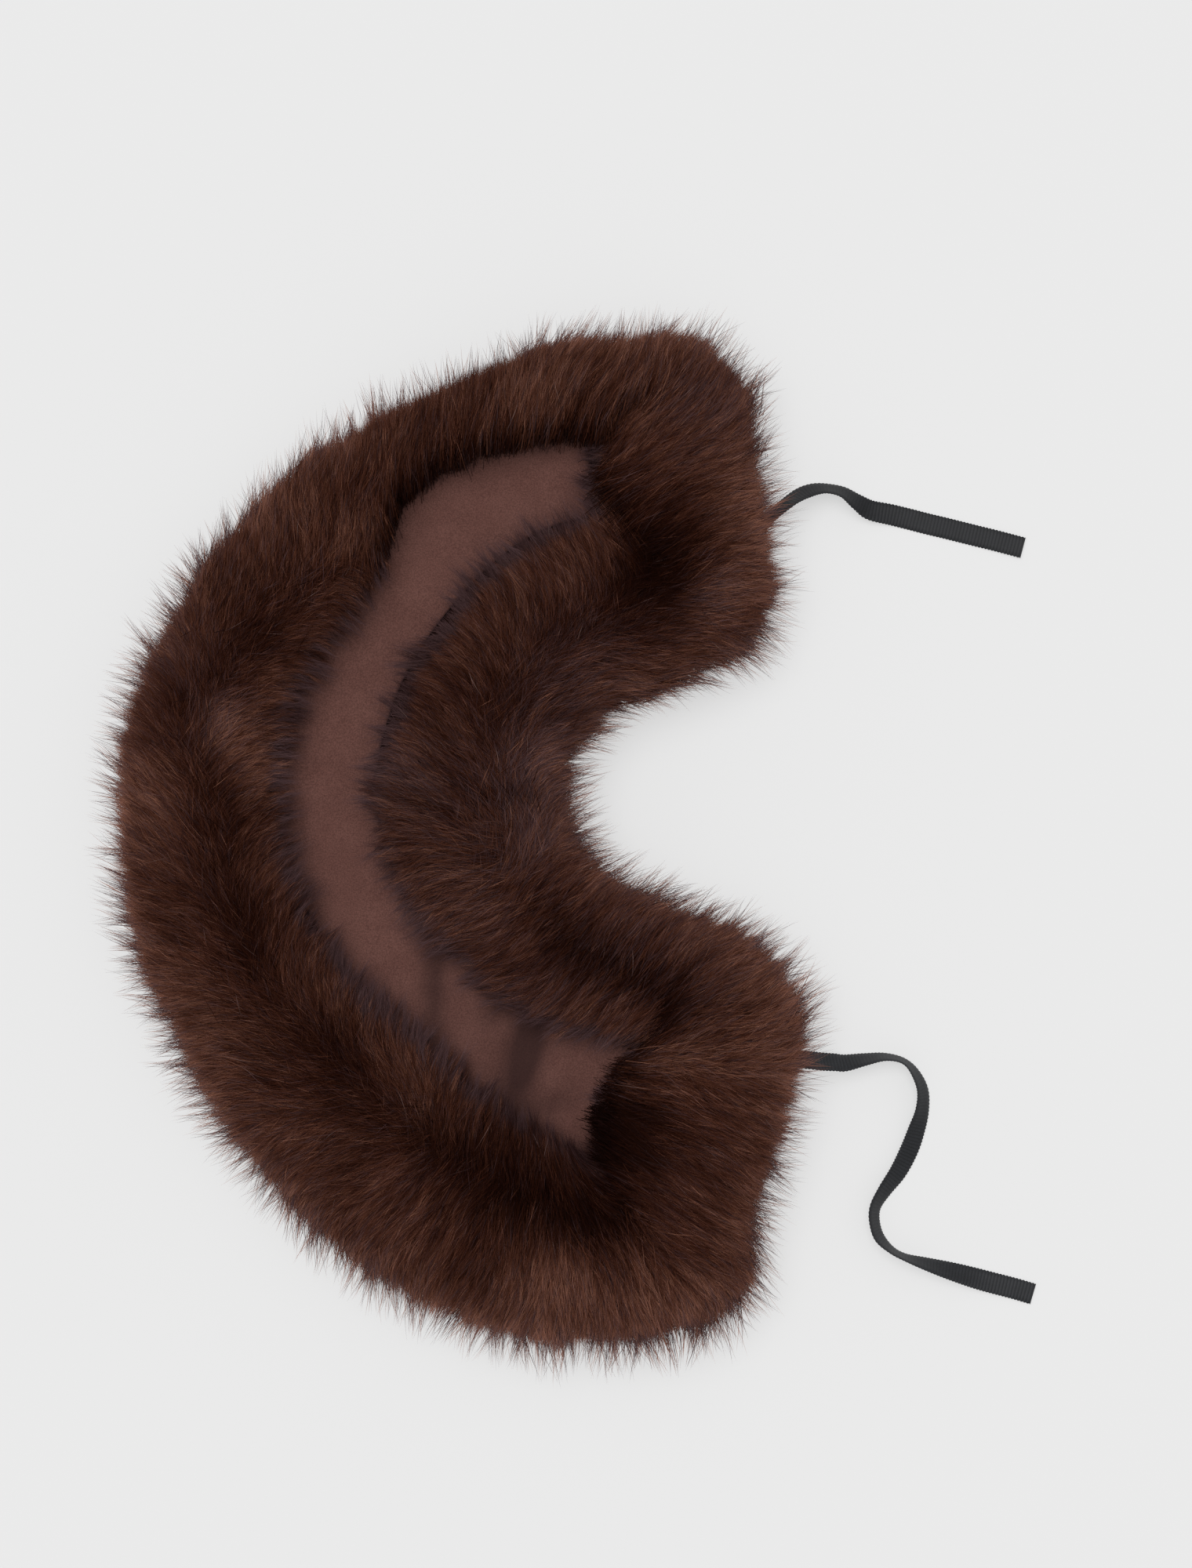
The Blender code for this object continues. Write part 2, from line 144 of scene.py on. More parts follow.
def roundTheCollar(values):
    # one value for each station: level along a side, eased to the next side over the corner
    t = np.linspace(0, 1, cut["cornerSteps"] + 1)[1:-1]
    eased = t * t * (3 - 2 * t)
    runs = []
    for number, length in enumerate(sideLengths):
        value, after = values[number], values[(number + 1) % 4]
        runs += [np.full(length, value), value + (after - value) * eased]
    return np.concatenate(runs)


sideLengths = [cut["outerSteps"] + 1, cut["endSteps"] + 1, cut["neckSteps"] + 1, cut["endSteps"] + 1]
sideEnds = np.cumsum([length + cut["cornerSteps"] - 1 for length in sideLengths])
mitres = sideEnds - cut["cornerSteps"] // 2  # the station in the middle of each corner
stationCount = int(sideEnds[-1])


def readRound(table, station):
    # a table of stations and values, read on straight lines, round the loop
    return np.interp(station % stationCount, *table.T)


def spaced(step, values):
    # such a table from values at even steps
    return np.column_stack([np.minimum(np.arange(len(values)) * step, stationCount), values])


def collarLoops():
    # outline of the hair, edge of the hair over the lining, and the way in from one to the other
    edgeCut, endCut, liningAt, liningEdge, liningEnd = collarCorners.T
    last = len(collarSections) - 1
    outline = acrossBand(*loopStations((0, last, last, 0), edgeCut, endCut, np.zeros_like, np.ones_like).T)
    hairEdge = acrossBand(*loopStations(
        liningAt, liningEdge, liningEnd,
        lambda along: turnShare(along, "outer"), lambda along: turnShare(along, "neck")).T)
    inward = hairEdge - outline
    inward /= np.linalg.norm(inward, axis=1)[:, None]
    turn = np.arange(stationCount) / stationCount * 2 * math.pi
    waves = sum(size * np.sin(number * turn + phase) for number, size, phase in pileWaves)
    outline = outline - inward * (cut["hairReach"] + waves * cut["edgeWaveReach"])[:, None]
    return outline, hairEdge, inward, waves


outline, hairEdge, inward, waves = collarLoops()
collarCentre = (outline.min(axis=0) + outline.max(axis=0)) / 2
outline -= collarCentre
hairEdge -= collarCentre
reach = np.linalg.norm(hairEdge - outline, axis=1)
ridge = roundTheCollar(furRolls[:, 0])
rollHeight = roundTheCollar(furRolls[:, 1]) * mm * (1 + waves)
for mitre in mitres:
    away = (np.arange(stationCount) - mitre + stationCount / 2) % stationCount - stationCount / 2
    rollHeight *= 1 - cut["mitreDip"] * np.exp(-((away / (cut["cornerSteps"] * cut["mitreReach"])) ** 2))
# station and how crisp the fold over the lining is: there the pile is low and stands upright
crispRound = np.array([
    (0, 0.95), (10, 1), (13, 0), (60, 0), (64, 0.9), (77, 0.9), (81, 0), (120, 0), (124, 0.8), (140, 0.95),
])
tipHeight = cut["overhangHeight"] * (1 - cut["crispDrop"] * readRound(crispRound, np.arange(stationCount)))
loop = np.column_stack([outline, inward, reach, ridge, rollHeight, tipHeight])  # a row for each station
print("stage: the cut,", stationCount, "stations")


def atStation(table, station):
    # a table with a row for each station, read between stations on a straight line, round the loop
    lower = np.floor(station).astype(int)
    part = (station - lower)[:, None]
    return table[lower % len(table)] * (1 - part) + table[(lower + 1) % len(table)] * part


def rollSurface(row, share):
    # a roll's section: a superellipse up from the outline to the ridge, and another one down from
    # the ridge to the hair tips over the lining. Gives the way in from the outline and the height.
    reachHere, ridgeHere, height, tip = row[:, 4:8].T
    turn = np.clip(share * math.pi, 0, math.pi)
    power = 2 / cut["rollFullness"]
    along, up = np.abs(np.cos(turn)) ** power, np.sin(turn) ** power
    rising = turn < math.pi / 2
    # past the ridge the angle counts from it, so sine and cosine change places
    distance = reachHere * np.where(rising, ridgeHere * (1 - along), ridgeHere + (1 - ridgeHere) * along)
    level = np.where(rising, height * up, tip + (height - tip) * up)
    return distance, level + cut["foldHeight"] + cut["seamGap"]


# from each station on to the next, along the outline and along the edge over the lining
stationPitch = np.column_stack([
    np.linalg.norm(np.roll(line, -1, axis=0) - line, axis=1) + 0.5 * mm for line in (outline, hairEdge)])

growth = {
    "seed": 11,
    "lockSize": (0.14, 0.10),  # in stations and as a share of the roll
    "wispSize": (0.34, 0.14),  # the same for wisps of guard hairs
    "gatherInside": 0.45,  # gathering left away from the edges
    "drawnFrom": 0.26,  # share of a hair hidden in the pile
    "bow": 0.13,  # outwards, as a share of the length
    "sweep": (0.10, 0.5),  # sideways, and by chance
    "rollSpread": 0.35,  # radians about a hair's own length
    "streakSizes": (1.1 * mm, 3.2 * mm),  # across fine and broad streaks
    "streakStride": 3 * mm,
    "streakStrides": 3,  # to either side
    "streakGain": 0.9,
    "streakSeed": 31,
    "partingReach": 0.09,  # share of the roll to either side
    "partingRise": 36,  # degrees more upright at a sharp parting
    "partingMix": (0.4, 0.035),  # stations and share that hairs stray over it
    "partingDip": 2.5 * mm,
    "undersideShare": 0.14,  # hairs of the underside, for each one on the rolls
    "cells": (4, 40),  # for each station and across
    "taper": ((0, 0.55, 1), (1.0, 0.85, 0.25)),  # width from root to tip
    "toneAcross": 0.006,
    "crispLean": 42,  # degrees over the level, past the parting at a crisp fold
    "streakLean": 4,
    "strayLean": 0.8,  # of a coat's stray angle
    "lockTurn": (21, 9),  # degrees, and what it adds at the edges
    "lengths": (0.85, 1.15),
    "lengthByLock": 0.2,
    "rootReach": 0.8,  # share of a hair kept off the lining
    "gathered": (0.4, 1.0),  # how far hairs follow their lock
    "napKept": 0.8,  # the nap fades up to this share
    "widths": (0.75, 1.25),
    "standPower": (0.8, 2.0),  # wool and guard hairs; over 1 more stay low
    "uneven": (0.62, 1.25),  # outside and over the lining
    "unevenByLock": 8,
    "guardThin": 0.55,  # share of the thinness that guard hairs show
    "fringe": (0.8, -0.3),  # share of fringeRound for wool and guard hairs
    "uprightCalm": 0.8,
    "streakRise": (0.5, 0.9),  # mm, for fine and broad streaks
    "tableGap": 0.4 * mm,
}

# shares across a roll between which something comes in
comesIn = {
    "gatherOutside": (0.25, 0.10), "gatherLining": (0.78, 0.93), "unevenOutside": (0.20, 0.05),
    "unevenLining": (0.75, 0.95), "thin": (0.30, 0.10), "fringe": (0.80, 0.92), "upright": (0.55, 0.95),
    "outerTone": (0.40, 0.0),
}

# slow variation over the collar: how much, over what distance in metres, and a seed
variation = {
    "parting": (0.045, 0.045, 4),  # share of the roll
    "turn": (0.2, 0.015, 12),  # share of the way over a parting
    "nap": (16, 0.060, 3),  # degrees
    "fineNap": (12, 0.022, 7),
    "lean": (7, 0.020, 6),
    "edge": (3.6, 0.011, 13),  # mm
    "fineEdge": (2.8, 0.005, 14),
    "sweep": (1, 0.015, 8),
    "tone": (0.12, 0.040, 5),
}

# what makes a hair's tone, from 0, darkest, to 1, palest
hairTone = {
    "middle": 0.50, "outside": 0.30, "fineStreak": 0.19, "broadStreak": 0.08, "lock": 0.17, "random": 0.17,
    # parting: painted shade where the upright hair at a parting traps light
    "parting": -0.24, "rim": 0.22, "patch": 2,
    # rim: paler and rustier, partly the underfur, partly a painted highlight on the hair's sides
    "rimPlace": (0.08, 0.09),  # share across a roll and reach
    "frostAndSheenShare": 0.05,  # besides the places of frost and painted sheen
    "frostAndSheen": (0.74, 0.16),  # their least tone and its spread
}

# kinds of hair: how many on the rolls, from and to which share across a roll, width in mm, length
# factor, darkest and lightest tone, how far a lock gathers the tips, stray angle in degrees, steps
# along the hair, 1 for a guard hair
furCoats = (
    (310000, 0.0, 1.0, 0.36, 0.90, 0.02, 0.58, 0.48, 7, 1, 0),
    (75000, 0.0, 1.0, 0.25, 1.10, 0.00, 0.54, 0.48, 9, 2, 0),
    (44000, 0.0, 1.0, 0.24, 1.12, 0.72, 0.88, 0.50, 9, 2, 1),
    (8000, 0.0, 0.10, 0.24, 1.20, 0.36, 0.60, 0.42, 8, 3, 1),
    (8000, 0.0, 0.10, 0.24, 1.20, 0.72, 0.86, 0.42, 8, 3, 1),
    (28000, 0.84, 1.0, 0.25, 1.15, 0.72, 0.87, 0.75, 10, 2, 1),
    (250, 0.1, 0.9, 0.24, 1.00, 0.95, 0.97, 0.10, 14, 3, 1),
)

# across a roll, from the outline to the lining: lean of the hair over the level, its length, and how
# far the tips stand past the form, least and most for the wool and then for the guard hairs, in mm
rollLie = np.array([
    (0.00, -6, 27, -17.0, -5.0, -10.0, 10.5),
    (0.10, 8, 27, -13.0, -5.0, -8.0, 5.0),
    (0.22, 20, 27, -7.0, -1.5, -6.0, 2.5),
    (0.36, 29, 26, -4.0, 0.5, -6.0, 1.0),
    (0.48, 34, 25, -3.0, 0.5, -6.0, 1.0),
    (0.56, 36, 25, -3.0, 0.5, -6.0, 1.0),
    (0.68, 33, 25, -3.0, 0.5, -5.0, 1.5),
    (0.80, 24, 24, -3.0, 0.8, -4.0, 2.5),
    (0.90, 12, 24, -3.0, 1.5, -3.0, 5.0),
    (1.00, -4, 23, -3.5, 2.0, -2.0, 8.0),
])

# the same for the fur that lies face down, from the fold round the rim to the middle of the collar
undersideLie = np.array([
    (0.00, -4, 27, -16.0, -9.0, -10.0, 5.0),
    (0.20, -10, 27, -9.0, -3.0, -8.0, 2.0),
    (0.35, -6, 26, -4.0, 0.0, -3.0, 1.0),
    (1.00, -4, 25, -1.0, 0.0, -1.0, 0.0),
])

# station and share across the roll of the parting; past 1 all hair is combed out
partingRound = np.array([
    (0, 0.88), (3, 1.00), (5, 1.10), (9, 1.10), (12, 0.80), (14, 0.62), (17, 0.54), (20, 0.54), (38, 0.56),
    (48, 0.54), (56, 0.55), (60, 0.62), (64, 0.76), (67, 0.80), (76, 0.80), (80, 0.64), (84, 0.52),
    (88, 0.50), (100, 0.48), (112, 0.50), (118, 0.52), (122, 0.60), (126, 0.70), (132, 0.78), (136, 0.80),
    (140, 0.86),
])

# how far hair turns away from straight out, in degrees, on its way from the outline, at 0, over the
# parting, at 1, to the lining, at 2
turnAcross = np.array([(0, 0), (0.3, 8), (0.6, 28), (0.8, 54), (1, 90), (1.2, 122), (1.5, 152), (2, 172)])

# station and how the hair gets over the parting: 1 turns on round the loop and -1 back, all the way;
# at 0 the parting is sharp and the hair falls to both sides
turnRound = np.array([
    (0, 0), (4, 0), (8, -0.2), (12, -0.6), (14, -1), (43, -1), (48, -0.3), (56, 0), (66, 0), (90, 0.1),
    (94, 0.4), (98, 1), (114, 1), (117, 0.6), (130, 0.4), (136, 0.2), (140, 0),
])

# how far the hair stops short of the form's edge over the lining, in mm, at every second station
shortRound = spaced(2, [
    9, 8, 11, 12, 17, 15, -4, -9, -9, -4, 0, 3, 1, 2, -3, 4, 4, 6, 2, 4, 2, -5, -9, -9, -7, -7, -3, -4,
    -3, -2.5, -2, 0, 1, 0, -2, -2, 0, 4, 6, 6, 4, 1, 0, 0, 0, 2, -1, -2, 4, 3, 4, 10, 8, 9, 7, 7.5, 8, 7,
    6, 4, 14 / 3, 16 / 3, 6, 16 / 3, 14 / 3, 4, 6, 9, 11, 9, 9,
])

# how far inside the outline the dense pile ends, in mm more than in rollLie, at every third station
thinRound = spaced(3, [
    1, 6, 7, 6, 4, 2, 4, 5, 1, 0, 1, 4, 6, 1, 3, 5, -1, 1, 8, 15, 8, 3, 11, 4, -5, 2, 4, 1, -1, 5, 6, 2,
    9, 4, 3, 2, 3, 3, 4, 6, 6, -3, 0, 5, 12, 12, 3, 1,
])

# station and how far the dense pile ends short of the guard hairs over the lining, in mm
fringeRound = np.array([
    (0, 0), (10, 0), (14, 2), (34, 2), (37, 3), (56, 3), (62, 1), (76, 1), (82, 3), (98, 4), (102, 9),
    (116, 9), (120, 5), (132, 4), (138, 1), (140, 0),
])

# station and how pale and rusty the rim is: partly the rusty underfur, partly a painted highlight where the
# hair's sides catch the light
rimRound = np.array([
    (0, 0.5), (10, 0.35), (20, 0.5), (25, 1.5), (32, 1.4), (40, 1.1), (46, 1.0), (56, 1.1), (66, 1.0),
    (76, 0.7), (86, 0.5), (100, 0.3), (112, 0.5), (122, 1.0), (134, 1.0), (140, 0.5),
])

# nap, turned from straight out of the collar, in degrees, at rows spaced evenly round the loop
napRound = np.array([
    [25, 18, -5, -10, -22, -14, -4, -8, -6, 0, 2, 4, 14, 28, 28, 14, 8, 12, 22, 21]], float).T

# places where the pile is painted darker, as shade where it opens, or fluffs up pale: plan x and y, reach in
# mm, and tone added
pilePatches = np.array([
    (90, 127, 30, -0.22), (58, 200, 13, -0.18), (20, 168, 17, -0.13), (-20, 152, 15, -0.12),
    (95, -73, 14, -0.12), (82, -131, 18, -0.31), (66, -118, 10, 0.16), (62, -169, 26, -0.20),
    (22, -147, 38, -0.19),
    (-96, -40, 20, -0.10), (-60, -92, 18, -0.10), (-130, 68, 24, -0.07), (62, 110, 26, 0.05),
    (0, 35, 22, 0.03), (59, -43, 30, -0.05), (121, 110, 18, 0.14), (90, 230, 30, 0.03),
    (146, -63, 17, 0.03), (42, -203, 15, 0.09), (92, -214, 30, 0.03), (-103, 58, 11, 0.28),
    (39, 210, 20, 0.14), (4, -202, 18, -0.11), (35, 39, 24, 0.09), (57, 55, 9, -0.10), (-57, 165, 18, -0.07),
    (-87, 37, 14, 0.10), (-150, 25, 16, 0.10), (-128, 26, 20, 0.04), (101, 146, 16, -0.06),
    (128, 172, 20, 0.07), (-32, 40, 16, 0.08), (132, -131, 22, -0.07), (-116, -105, 18, 0.04),
])

# places where hairs get the purple-grey tones, partly frosted tips and partly painted sheen: plan x and y,
# reach in mm, and the share of the hairs
frostAndSheenPatches = np.array([
    (35, 39, 28, 0.50), (60, 86, 26, 0.35), (-33, 35, 16, 0.35), (33, 2, 16, 0.30), (-138, 22, 24, 0.05),
    (-105, 62, 14, 0.35), (-132, 88, 18, 0.20), (117, 204, 20, 0.35), (33, -77, 26, 0.20),
    (120, 110, 18, 0.25), (75, -45, 28, 0.25), (-18, 20, 30, 0.22), (0, -30, 26, 0.20), (112, -62, 22, 0.15),
])

latticeStrides = (131, 977)  # spread a lattice over a table


def drift(points, size, seed):
    # slow random variation from -1 to 1: random values on a square lattice, eased between its corners
    values = np.random.default_rng(seed).uniform(-1, 1, 4096)
    place = points / size + seed * 17.3
    corner = np.floor(place).astype(int)
    x, y = (part * part * (3 - 2 * part) for part in (place - corner).T)
    start = corner @ latticeStrides
    steps = (0, *latticeStrides, sum(latticeStrides))
    a, b, c, d = (values[(start + step) % len(values)] for step in steps)
    return (a * (1 - x) + b * x) * (1 - y) + (c * (1 - x) + d * x) * y


def varied(name, plan):
    # one of the named variations
    amount, size, seed = variation[name]
    return amount * drift(plan, size, seed)


def comeIn(name, share):
    # 0 before the first of two shares and 1 past the second, straight in between
    start, end = comesIn[name]
    return np.clip((share - start) / (end - start), 0, 1)


def patchSum(plan, patches):
    # bell-shaped patches added up
    total = np.zeros(len(plan))
    for x, y, patchReach, value in patches:
        middle = np.array([x, y]) * mm - collarCentre
        total += value * np.exp(-(((plan - middle) ** 2).sum(axis=1) / (patchReach * mm) ** 2))
    return total


lockTable = np.random.default_rng(21).random((1009, 5))
lockStrides = (73, 151)  # the same for the table of locks


def nearestLock(first, second):
    # Voronoi cells: of the nine jittered lattice centres round a point, the nearest one, with its
    # place and its own random values
    best = np.full(len(first), np.inf)
    place = np.zeros((len(first), 2))
    values = np.zeros((len(first), lockTable.shape[1] - 2))
    corner = np.floor(np.column_stack([first, second])).astype(int)
    for step in np.ndindex(3, 3):
        cell = corner + step - 1
        row = lockTable[cell @ lockStrides % len(lockTable)]
        centre = cell + 0.1 + 0.8 * row[:, :2]
        distance = (first - centre[:, 0]) ** 2 + (second - centre[:, 1]) ** 2
        nearer = distance < best
        best = np.where(nearer, distance, best)
        place[nearer] = centre[nearer]
        values[nearer] = row[nearer, 2:]
    return place, values


def undersideSurface(row, share):
    # the outer panel's section: round from the fold down to the table, then flat to the middle
    rimShare = cut["rimShare"]
    turn = np.clip(share / rimShare, 0, 1) * math.pi / 2
    flat = row[:, 4] + cut["undersidePast"] - cut["rimRounding"]
    onFlat = np.clip((share - rimShare) / (1 - rimShare), 0, 1)
    distance = cut["rimRounding"] * (1 - np.cos(turn)) + flat * onFlat
    return distance, cut["foldHeight"] * (1 - np.sin(turn) ** cut["rollFullness"]) + cut["undersideLift"]


def inwardFrom(row, distance, level):
    # points at a distance in from each station and at a level
    return np.column_stack([row[:, 0:2] + row[:, 2:4] * distance[:, None], level])


def onSurface(surface, station, share):
    # a point of a surface at each station and share, with the station's own row
    row = atStation(loop, station).copy()
    if surface is rollSurface:
        row[:, 4] -= readRound(shortRound, station) * mm
    return inwardFrom(row, *surface(row, share)), row


def surfaceCells(surface, firstStation, lastStation, firstShare=0.0, lastShare=1.0):
    # a grid of stations and shares over a stretch of a surface, and the area of each of its cells
    alongCells, acrossCells = growth["cells"]
    stations = np.linspace(firstStation, lastStation, alongCells * int(lastStation - firstStation) + 1)
    shares = np.linspace(firstShare, lastShare, acrossCells + 1)
    form = onSurface(surface, *gridOf(stations, shares))[0].reshape(len(stations), len(shares), 3)
    acrossCell = form[:-1, 1:] - form[:-1, :-1]
    alongCell = form[1:, :-1] - form[:-1, :-1]
    return stations, shares, np.linalg.norm(np.cross(acrossCell, alongCell), axis=2).ravel()


def scattered(surface, stretch, count, random):
    # random places, evenly by area: cells are drawn by their area, then jittered
    stations, shares, area = surfaceCells(surface, *stretch)
    i, j = np.divmod(random.choice(len(area), count, p=area / area.sum()), len(shares) - 1)
    station = stations[i] + random.random(count) * (stations[1] - stations[0])
    return station, shares[j] + random.random(count) * (shares[1] - shares[0])


def lieAt(surface, station, share, plan):
    # how far the hair turns from straight out, in degrees: the nap, plus a turn that grows up to the
    # parting and, past it, to half a circle at the lining. Also how near the parting is, how sharp it
    # is, and how crisp the fold.
    onRoll = float(surface is rollSurface)
    parting = readRound(partingRound, station) + varied("parting", plan)
    across = np.where(share < parting, share / parting, 1 + (share - parting) / np.maximum(1 - parting, 0.1))
    turnTo = readRound(turnRound, station)
    sharp = (1 - np.abs(turnTo)) * onRoll
    turnTo = np.clip(turnTo + varied("turn", plan), -1, 1)
    turn = np.interp(across, *turnAcross.T)
    pastParting = np.where(turnTo < 0, -180, 180) + turnTo * (turn - 180)
    nap = atStation(napRound, station * len(napRound) / stationCount)[:, 0]
    nap = nap * (1 - np.clip(share, 0, growth["napKept"]) * (1 - sharp))
    nap = nap + np.where(across < 1, turnTo * turn, pastParting) * onRoll
    nap = nap + varied("nap", plan) + varied("fineNap", plan)
    near = np.exp(-(((share - parting) / growth["partingReach"]) ** 2)) * onRoll
    return np.radians(nap), near, sharp, readRound(crispRound, station) * onRoll


def turned(row, nap):
    # a station's way out, turned by the nap towards the next station
    outward = -row[:, 2:4]
    aside = np.column_stack([-outward[:, 1], outward[:, 0]])
    return outward * np.cos(nap)[:, None] + aside * np.sin(nap)[:, None]


def streaks(surface, station, share, plan):
    # fine and broad streaks, each about -1 to 1: drift summed over a few strides on along the lie
    # of the hair and a few back, so that it changes across the hair and hardly along it
    strides, seed = growth["streakStrides"], growth["streakSeed"]
    total = np.array([drift(plan, size, seed) for size in growth["streakSizes"]])
    for stride in (growth["streakStride"], -growth["streakStride"]):
        s, q, place = station, share, plan
        for step in range(strides):
            nap = lieAt(surface, s, q, place)[0]
            row = atStation(loop, s)
            place = place + turned(row, nap) * stride
            pitch = atStation(stationPitch, s)
            s = s + np.sin(nap) * stride / (pitch[:, 0] + (pitch[:, 1] - pitch[:, 0]) * np.clip(q, 0, 1))
            q = np.clip(q - np.cos(nap) * stride / row[:, 4], -0.1, 1.1)
            total += [drift(place, size, seed) for size in growth["streakSizes"]]
    return total / (growth["streakGain"] * math.sqrt(2 * strides + 1))


def combed(surface, lieTable, stretch, coat, count, random, facing=1.0):
    # roots, bows and tips of the hairs of one kind. A tip lies on the surface, raised along a
    # streak. Its root is a hair's length back along the lean, and at the edges of a roll the tips
    # of a lock are drawn to the lock's centre.
    _, firstShare, lastShare, width, lengthFactor, darkest, lightest, lockPull, stray, steps, guard = coat
    station, share = scattered(surface, (*stretch, firstShare, lastShare), count, random)
    lockStation, lockShare = growth["wispSize" if guard else "lockSize"]
    lockPlace, lock = nearestLock(station / lockStation, share / lockShare)
    byLock = lock - 0.5
    base, row = onSurface(surface, station, share)
    plan = base[:, :2]
    lean, length, *standing = (np.interp(share, lieTable[:, 0], column) for column in lieTable[:, 1:].T)
    least, most = standing[2:] if guard else standing[:2]
    towardsEdge = np.maximum(comeIn("gatherOutside", share), comeIn("gatherLining", share))
    towardsEdge *= float(surface is rollSurface)
    mixStation, mixShare = growth["partingMix"]
    strayStation = station + mixStation * random.normal(0, 1, count)
    strayShare = share + mixShare * random.normal(0, 1, count)
    nap, near, sharp, crisp = lieAt(surface, strayStation, strayShare, plan)
    fine, broad = streaks(surface, station, share, plan)

    # at a crisp fold a hair stands as steep as it must to keep its root off the lining
    room = row[:, 4] - ((plan - row[:, 0:2]) * row[:, 2:4]).sum(axis=1)
    steepest = np.degrees(np.arccos(np.clip(room / (growth["rootReach"] * length * mm), 0, 1)))
    crispLean = np.where(np.cos(nap) > 0, np.maximum(lean, steepest), growth["crispLean"])
    lean = lean + crisp * (crispLean - lean) + growth["partingRise"] * sharp * near * (1 - crisp)
    lean = lean + varied("lean", plan) + growth["streakLean"] * broad
    lean = np.radians(lean + random.normal(0, growth["strayLean"] * stray, count))
    lockTurn, edgeTurn = growth["lockTurn"]
    lockTurn = byLock[:, 1] * (lockTurn + edgeTurn * towardsEdge)
    nap = nap + np.radians(random.normal(0, stray, count) + lockTurn)
    outward = turned(row, nap)
    direction = np.column_stack([outward * np.cos(lean)[:, None], np.sin(lean)])
    above = np.column_stack([-outward * np.sin(lean)[:, None], np.cos(lean)])
    sideways = np.cross(direction, above)

    length = length * mm * lengthFactor * (1 + growth["lengthByLock"] * byLock[:, 2])
    length = length * random.uniform(*growth["lengths"], count)
    root = base - direction * length[:, None]
    gather = growth["gatherInside"] + (1 - growth["gatherInside"]) * towardsEdge
    pull = lockPull * gather * random.uniform(*growth["gathered"], count)
    tip = onSurface(surface, station + (lockPlace[:, 0] * lockStation - station) * pull, share)[0]
    reachOut = least + (most - least) * random.random(count) ** growth["standPower"][guard]
    uneven = varied("edge", plan) + varied("fineEdge", plan) + growth["unevenByLock"] * byLock[:, 2]
    outside, overLining = growth["uneven"]
    uneven *= overLining * comeIn("unevenLining", share) + outside * comeIn("unevenOutside", share)
    thin = readRound(thinRound, station) * comeIn("thin", share) * (growth["guardThin"] if guard else 1)
    thin = thin + readRound(fringeRound, station) * comeIn("fringe", share) * growth["fringe"][guard]
    upright = crisp * comeIn("upright", share) * (np.cos(nap) > 0)
    reachOut = (reachOut + uneven - thin) * (1 - growth["uprightCalm"] * upright) * mm
    reachOut = reachOut - growth["partingDip"] * near
    fineRise, broadRise = growth["streakRise"]
    tip = tip + direction * reachOut[:, None] + above * ((fineRise * fine + broadRise * broad) * mm)[:, None]
    sweep, ownSweep = growth["sweep"]
    sweep = sweep * (varied("sweep", plan) + random.normal(0, ownSweep, count))
    bow = (root + tip) / 2 + above * (length * growth["bow"])[:, None] + sideways * (length * sweep)[:, None]
    for points in (root, bow, tip):
        points[:, 2] = np.maximum(points[:, 2], growth["tableGap"])

    tone = hairTone
    rimPlace, rimReach = tone["rimPlace"]
    # the rim: partly rusty underfur, partly a painted highlight
    rim = readRound(rimRound, station) * np.exp(-(((share - rimPlace) / rimReach) ** 2))
    shade = tone["middle"] + tone["outside"] * comeIn("outerTone", share) + varied("tone", plan)
    shade = shade + tone["fineStreak"] * fine + tone["broadStreak"] * broad + tone["lock"] * byLock[:, 2]
    # the parting is painted dark as shade
    shade = shade + random.normal(0, tone["random"], count) + tone["parting"] * near + tone["rim"] * rim
    # the patches: darker ones are painted shade where the pile opens
    shade = np.clip(shade + tone["patch"] * patchSum(plan, pilePatches), 0, 1)
    # some wool hairs take the purple-grey tones: partly frost, partly painted sheen
    frostAndSheen = random.random(count) < (tone["frostAndSheenShare"] + patchSum(plan, frostAndSheenPatches)) * (1 - guard)
    palest, spread = tone["frostAndSheen"]
    shade = np.where(frostAndSheen, palest + spread * shade, darkest + (lightest - darkest) * shade)
    turn = random.normal(0, growth["rollSpread"], count)[:, None]
    sideways = (sideways * np.cos(turn) + above * np.sin(turn)) * facing
    return root, bow, tip, sideways, width * mm * random.uniform(*growth["widths"], count), shade, steps


def hairStrands(root, bow, tip, sideways, width, shade, steps):
    # flat tapered strands: a quadratic curve from root over bow to tip, a pair of points at each
    # step, half a width to either side, and one point at the tip. Gives points, the corners of the
    # faces, their sizes and their UVs.
    count = len(root)
    along = np.linspace(growth["drawnFrom"], 1, steps + 1)[:-1]
    t = along[:, None, None]
    taper = np.interp(t, *growth["taper"])
    middle = (1 - t) ** 2 * root + 2 * t * (1 - t) * bow + t**2 * tip
    half = sideways * (width[:, None] / 2) * taper
    pairs = np.stack([middle - half, middle + half], axis=1).reshape(2 * steps, count, 3)
    points = np.concatenate([pairs, tip[None]]).transpose(1, 0, 2).reshape(-1, 3)
    quads = [corner for k in range(steps - 1) for corner in (2 * k, 2 * k + 1, 2 * k + 3, 2 * k + 2)]
    corners = np.array(quads + [2 * steps - 2, 2 * steps - 1, 2 * steps])
    first = (np.arange(count) * (2 * steps + 1))[:, None]
    sizes = np.tile([4] * (steps - 1) + [3], count)
    side = np.append(np.tile([-growth["toneAcross"], growth["toneAcross"]], steps), 0.0)[corners]
    upward = np.append(np.repeat(along, 2), 1.0)[corners]
    uv = np.stack([shade[:, None] + side, np.tile(upward, (count, 1))], axis=2)
    return points, (first + corners).ravel(), sizes, uv.reshape(-1, 2)


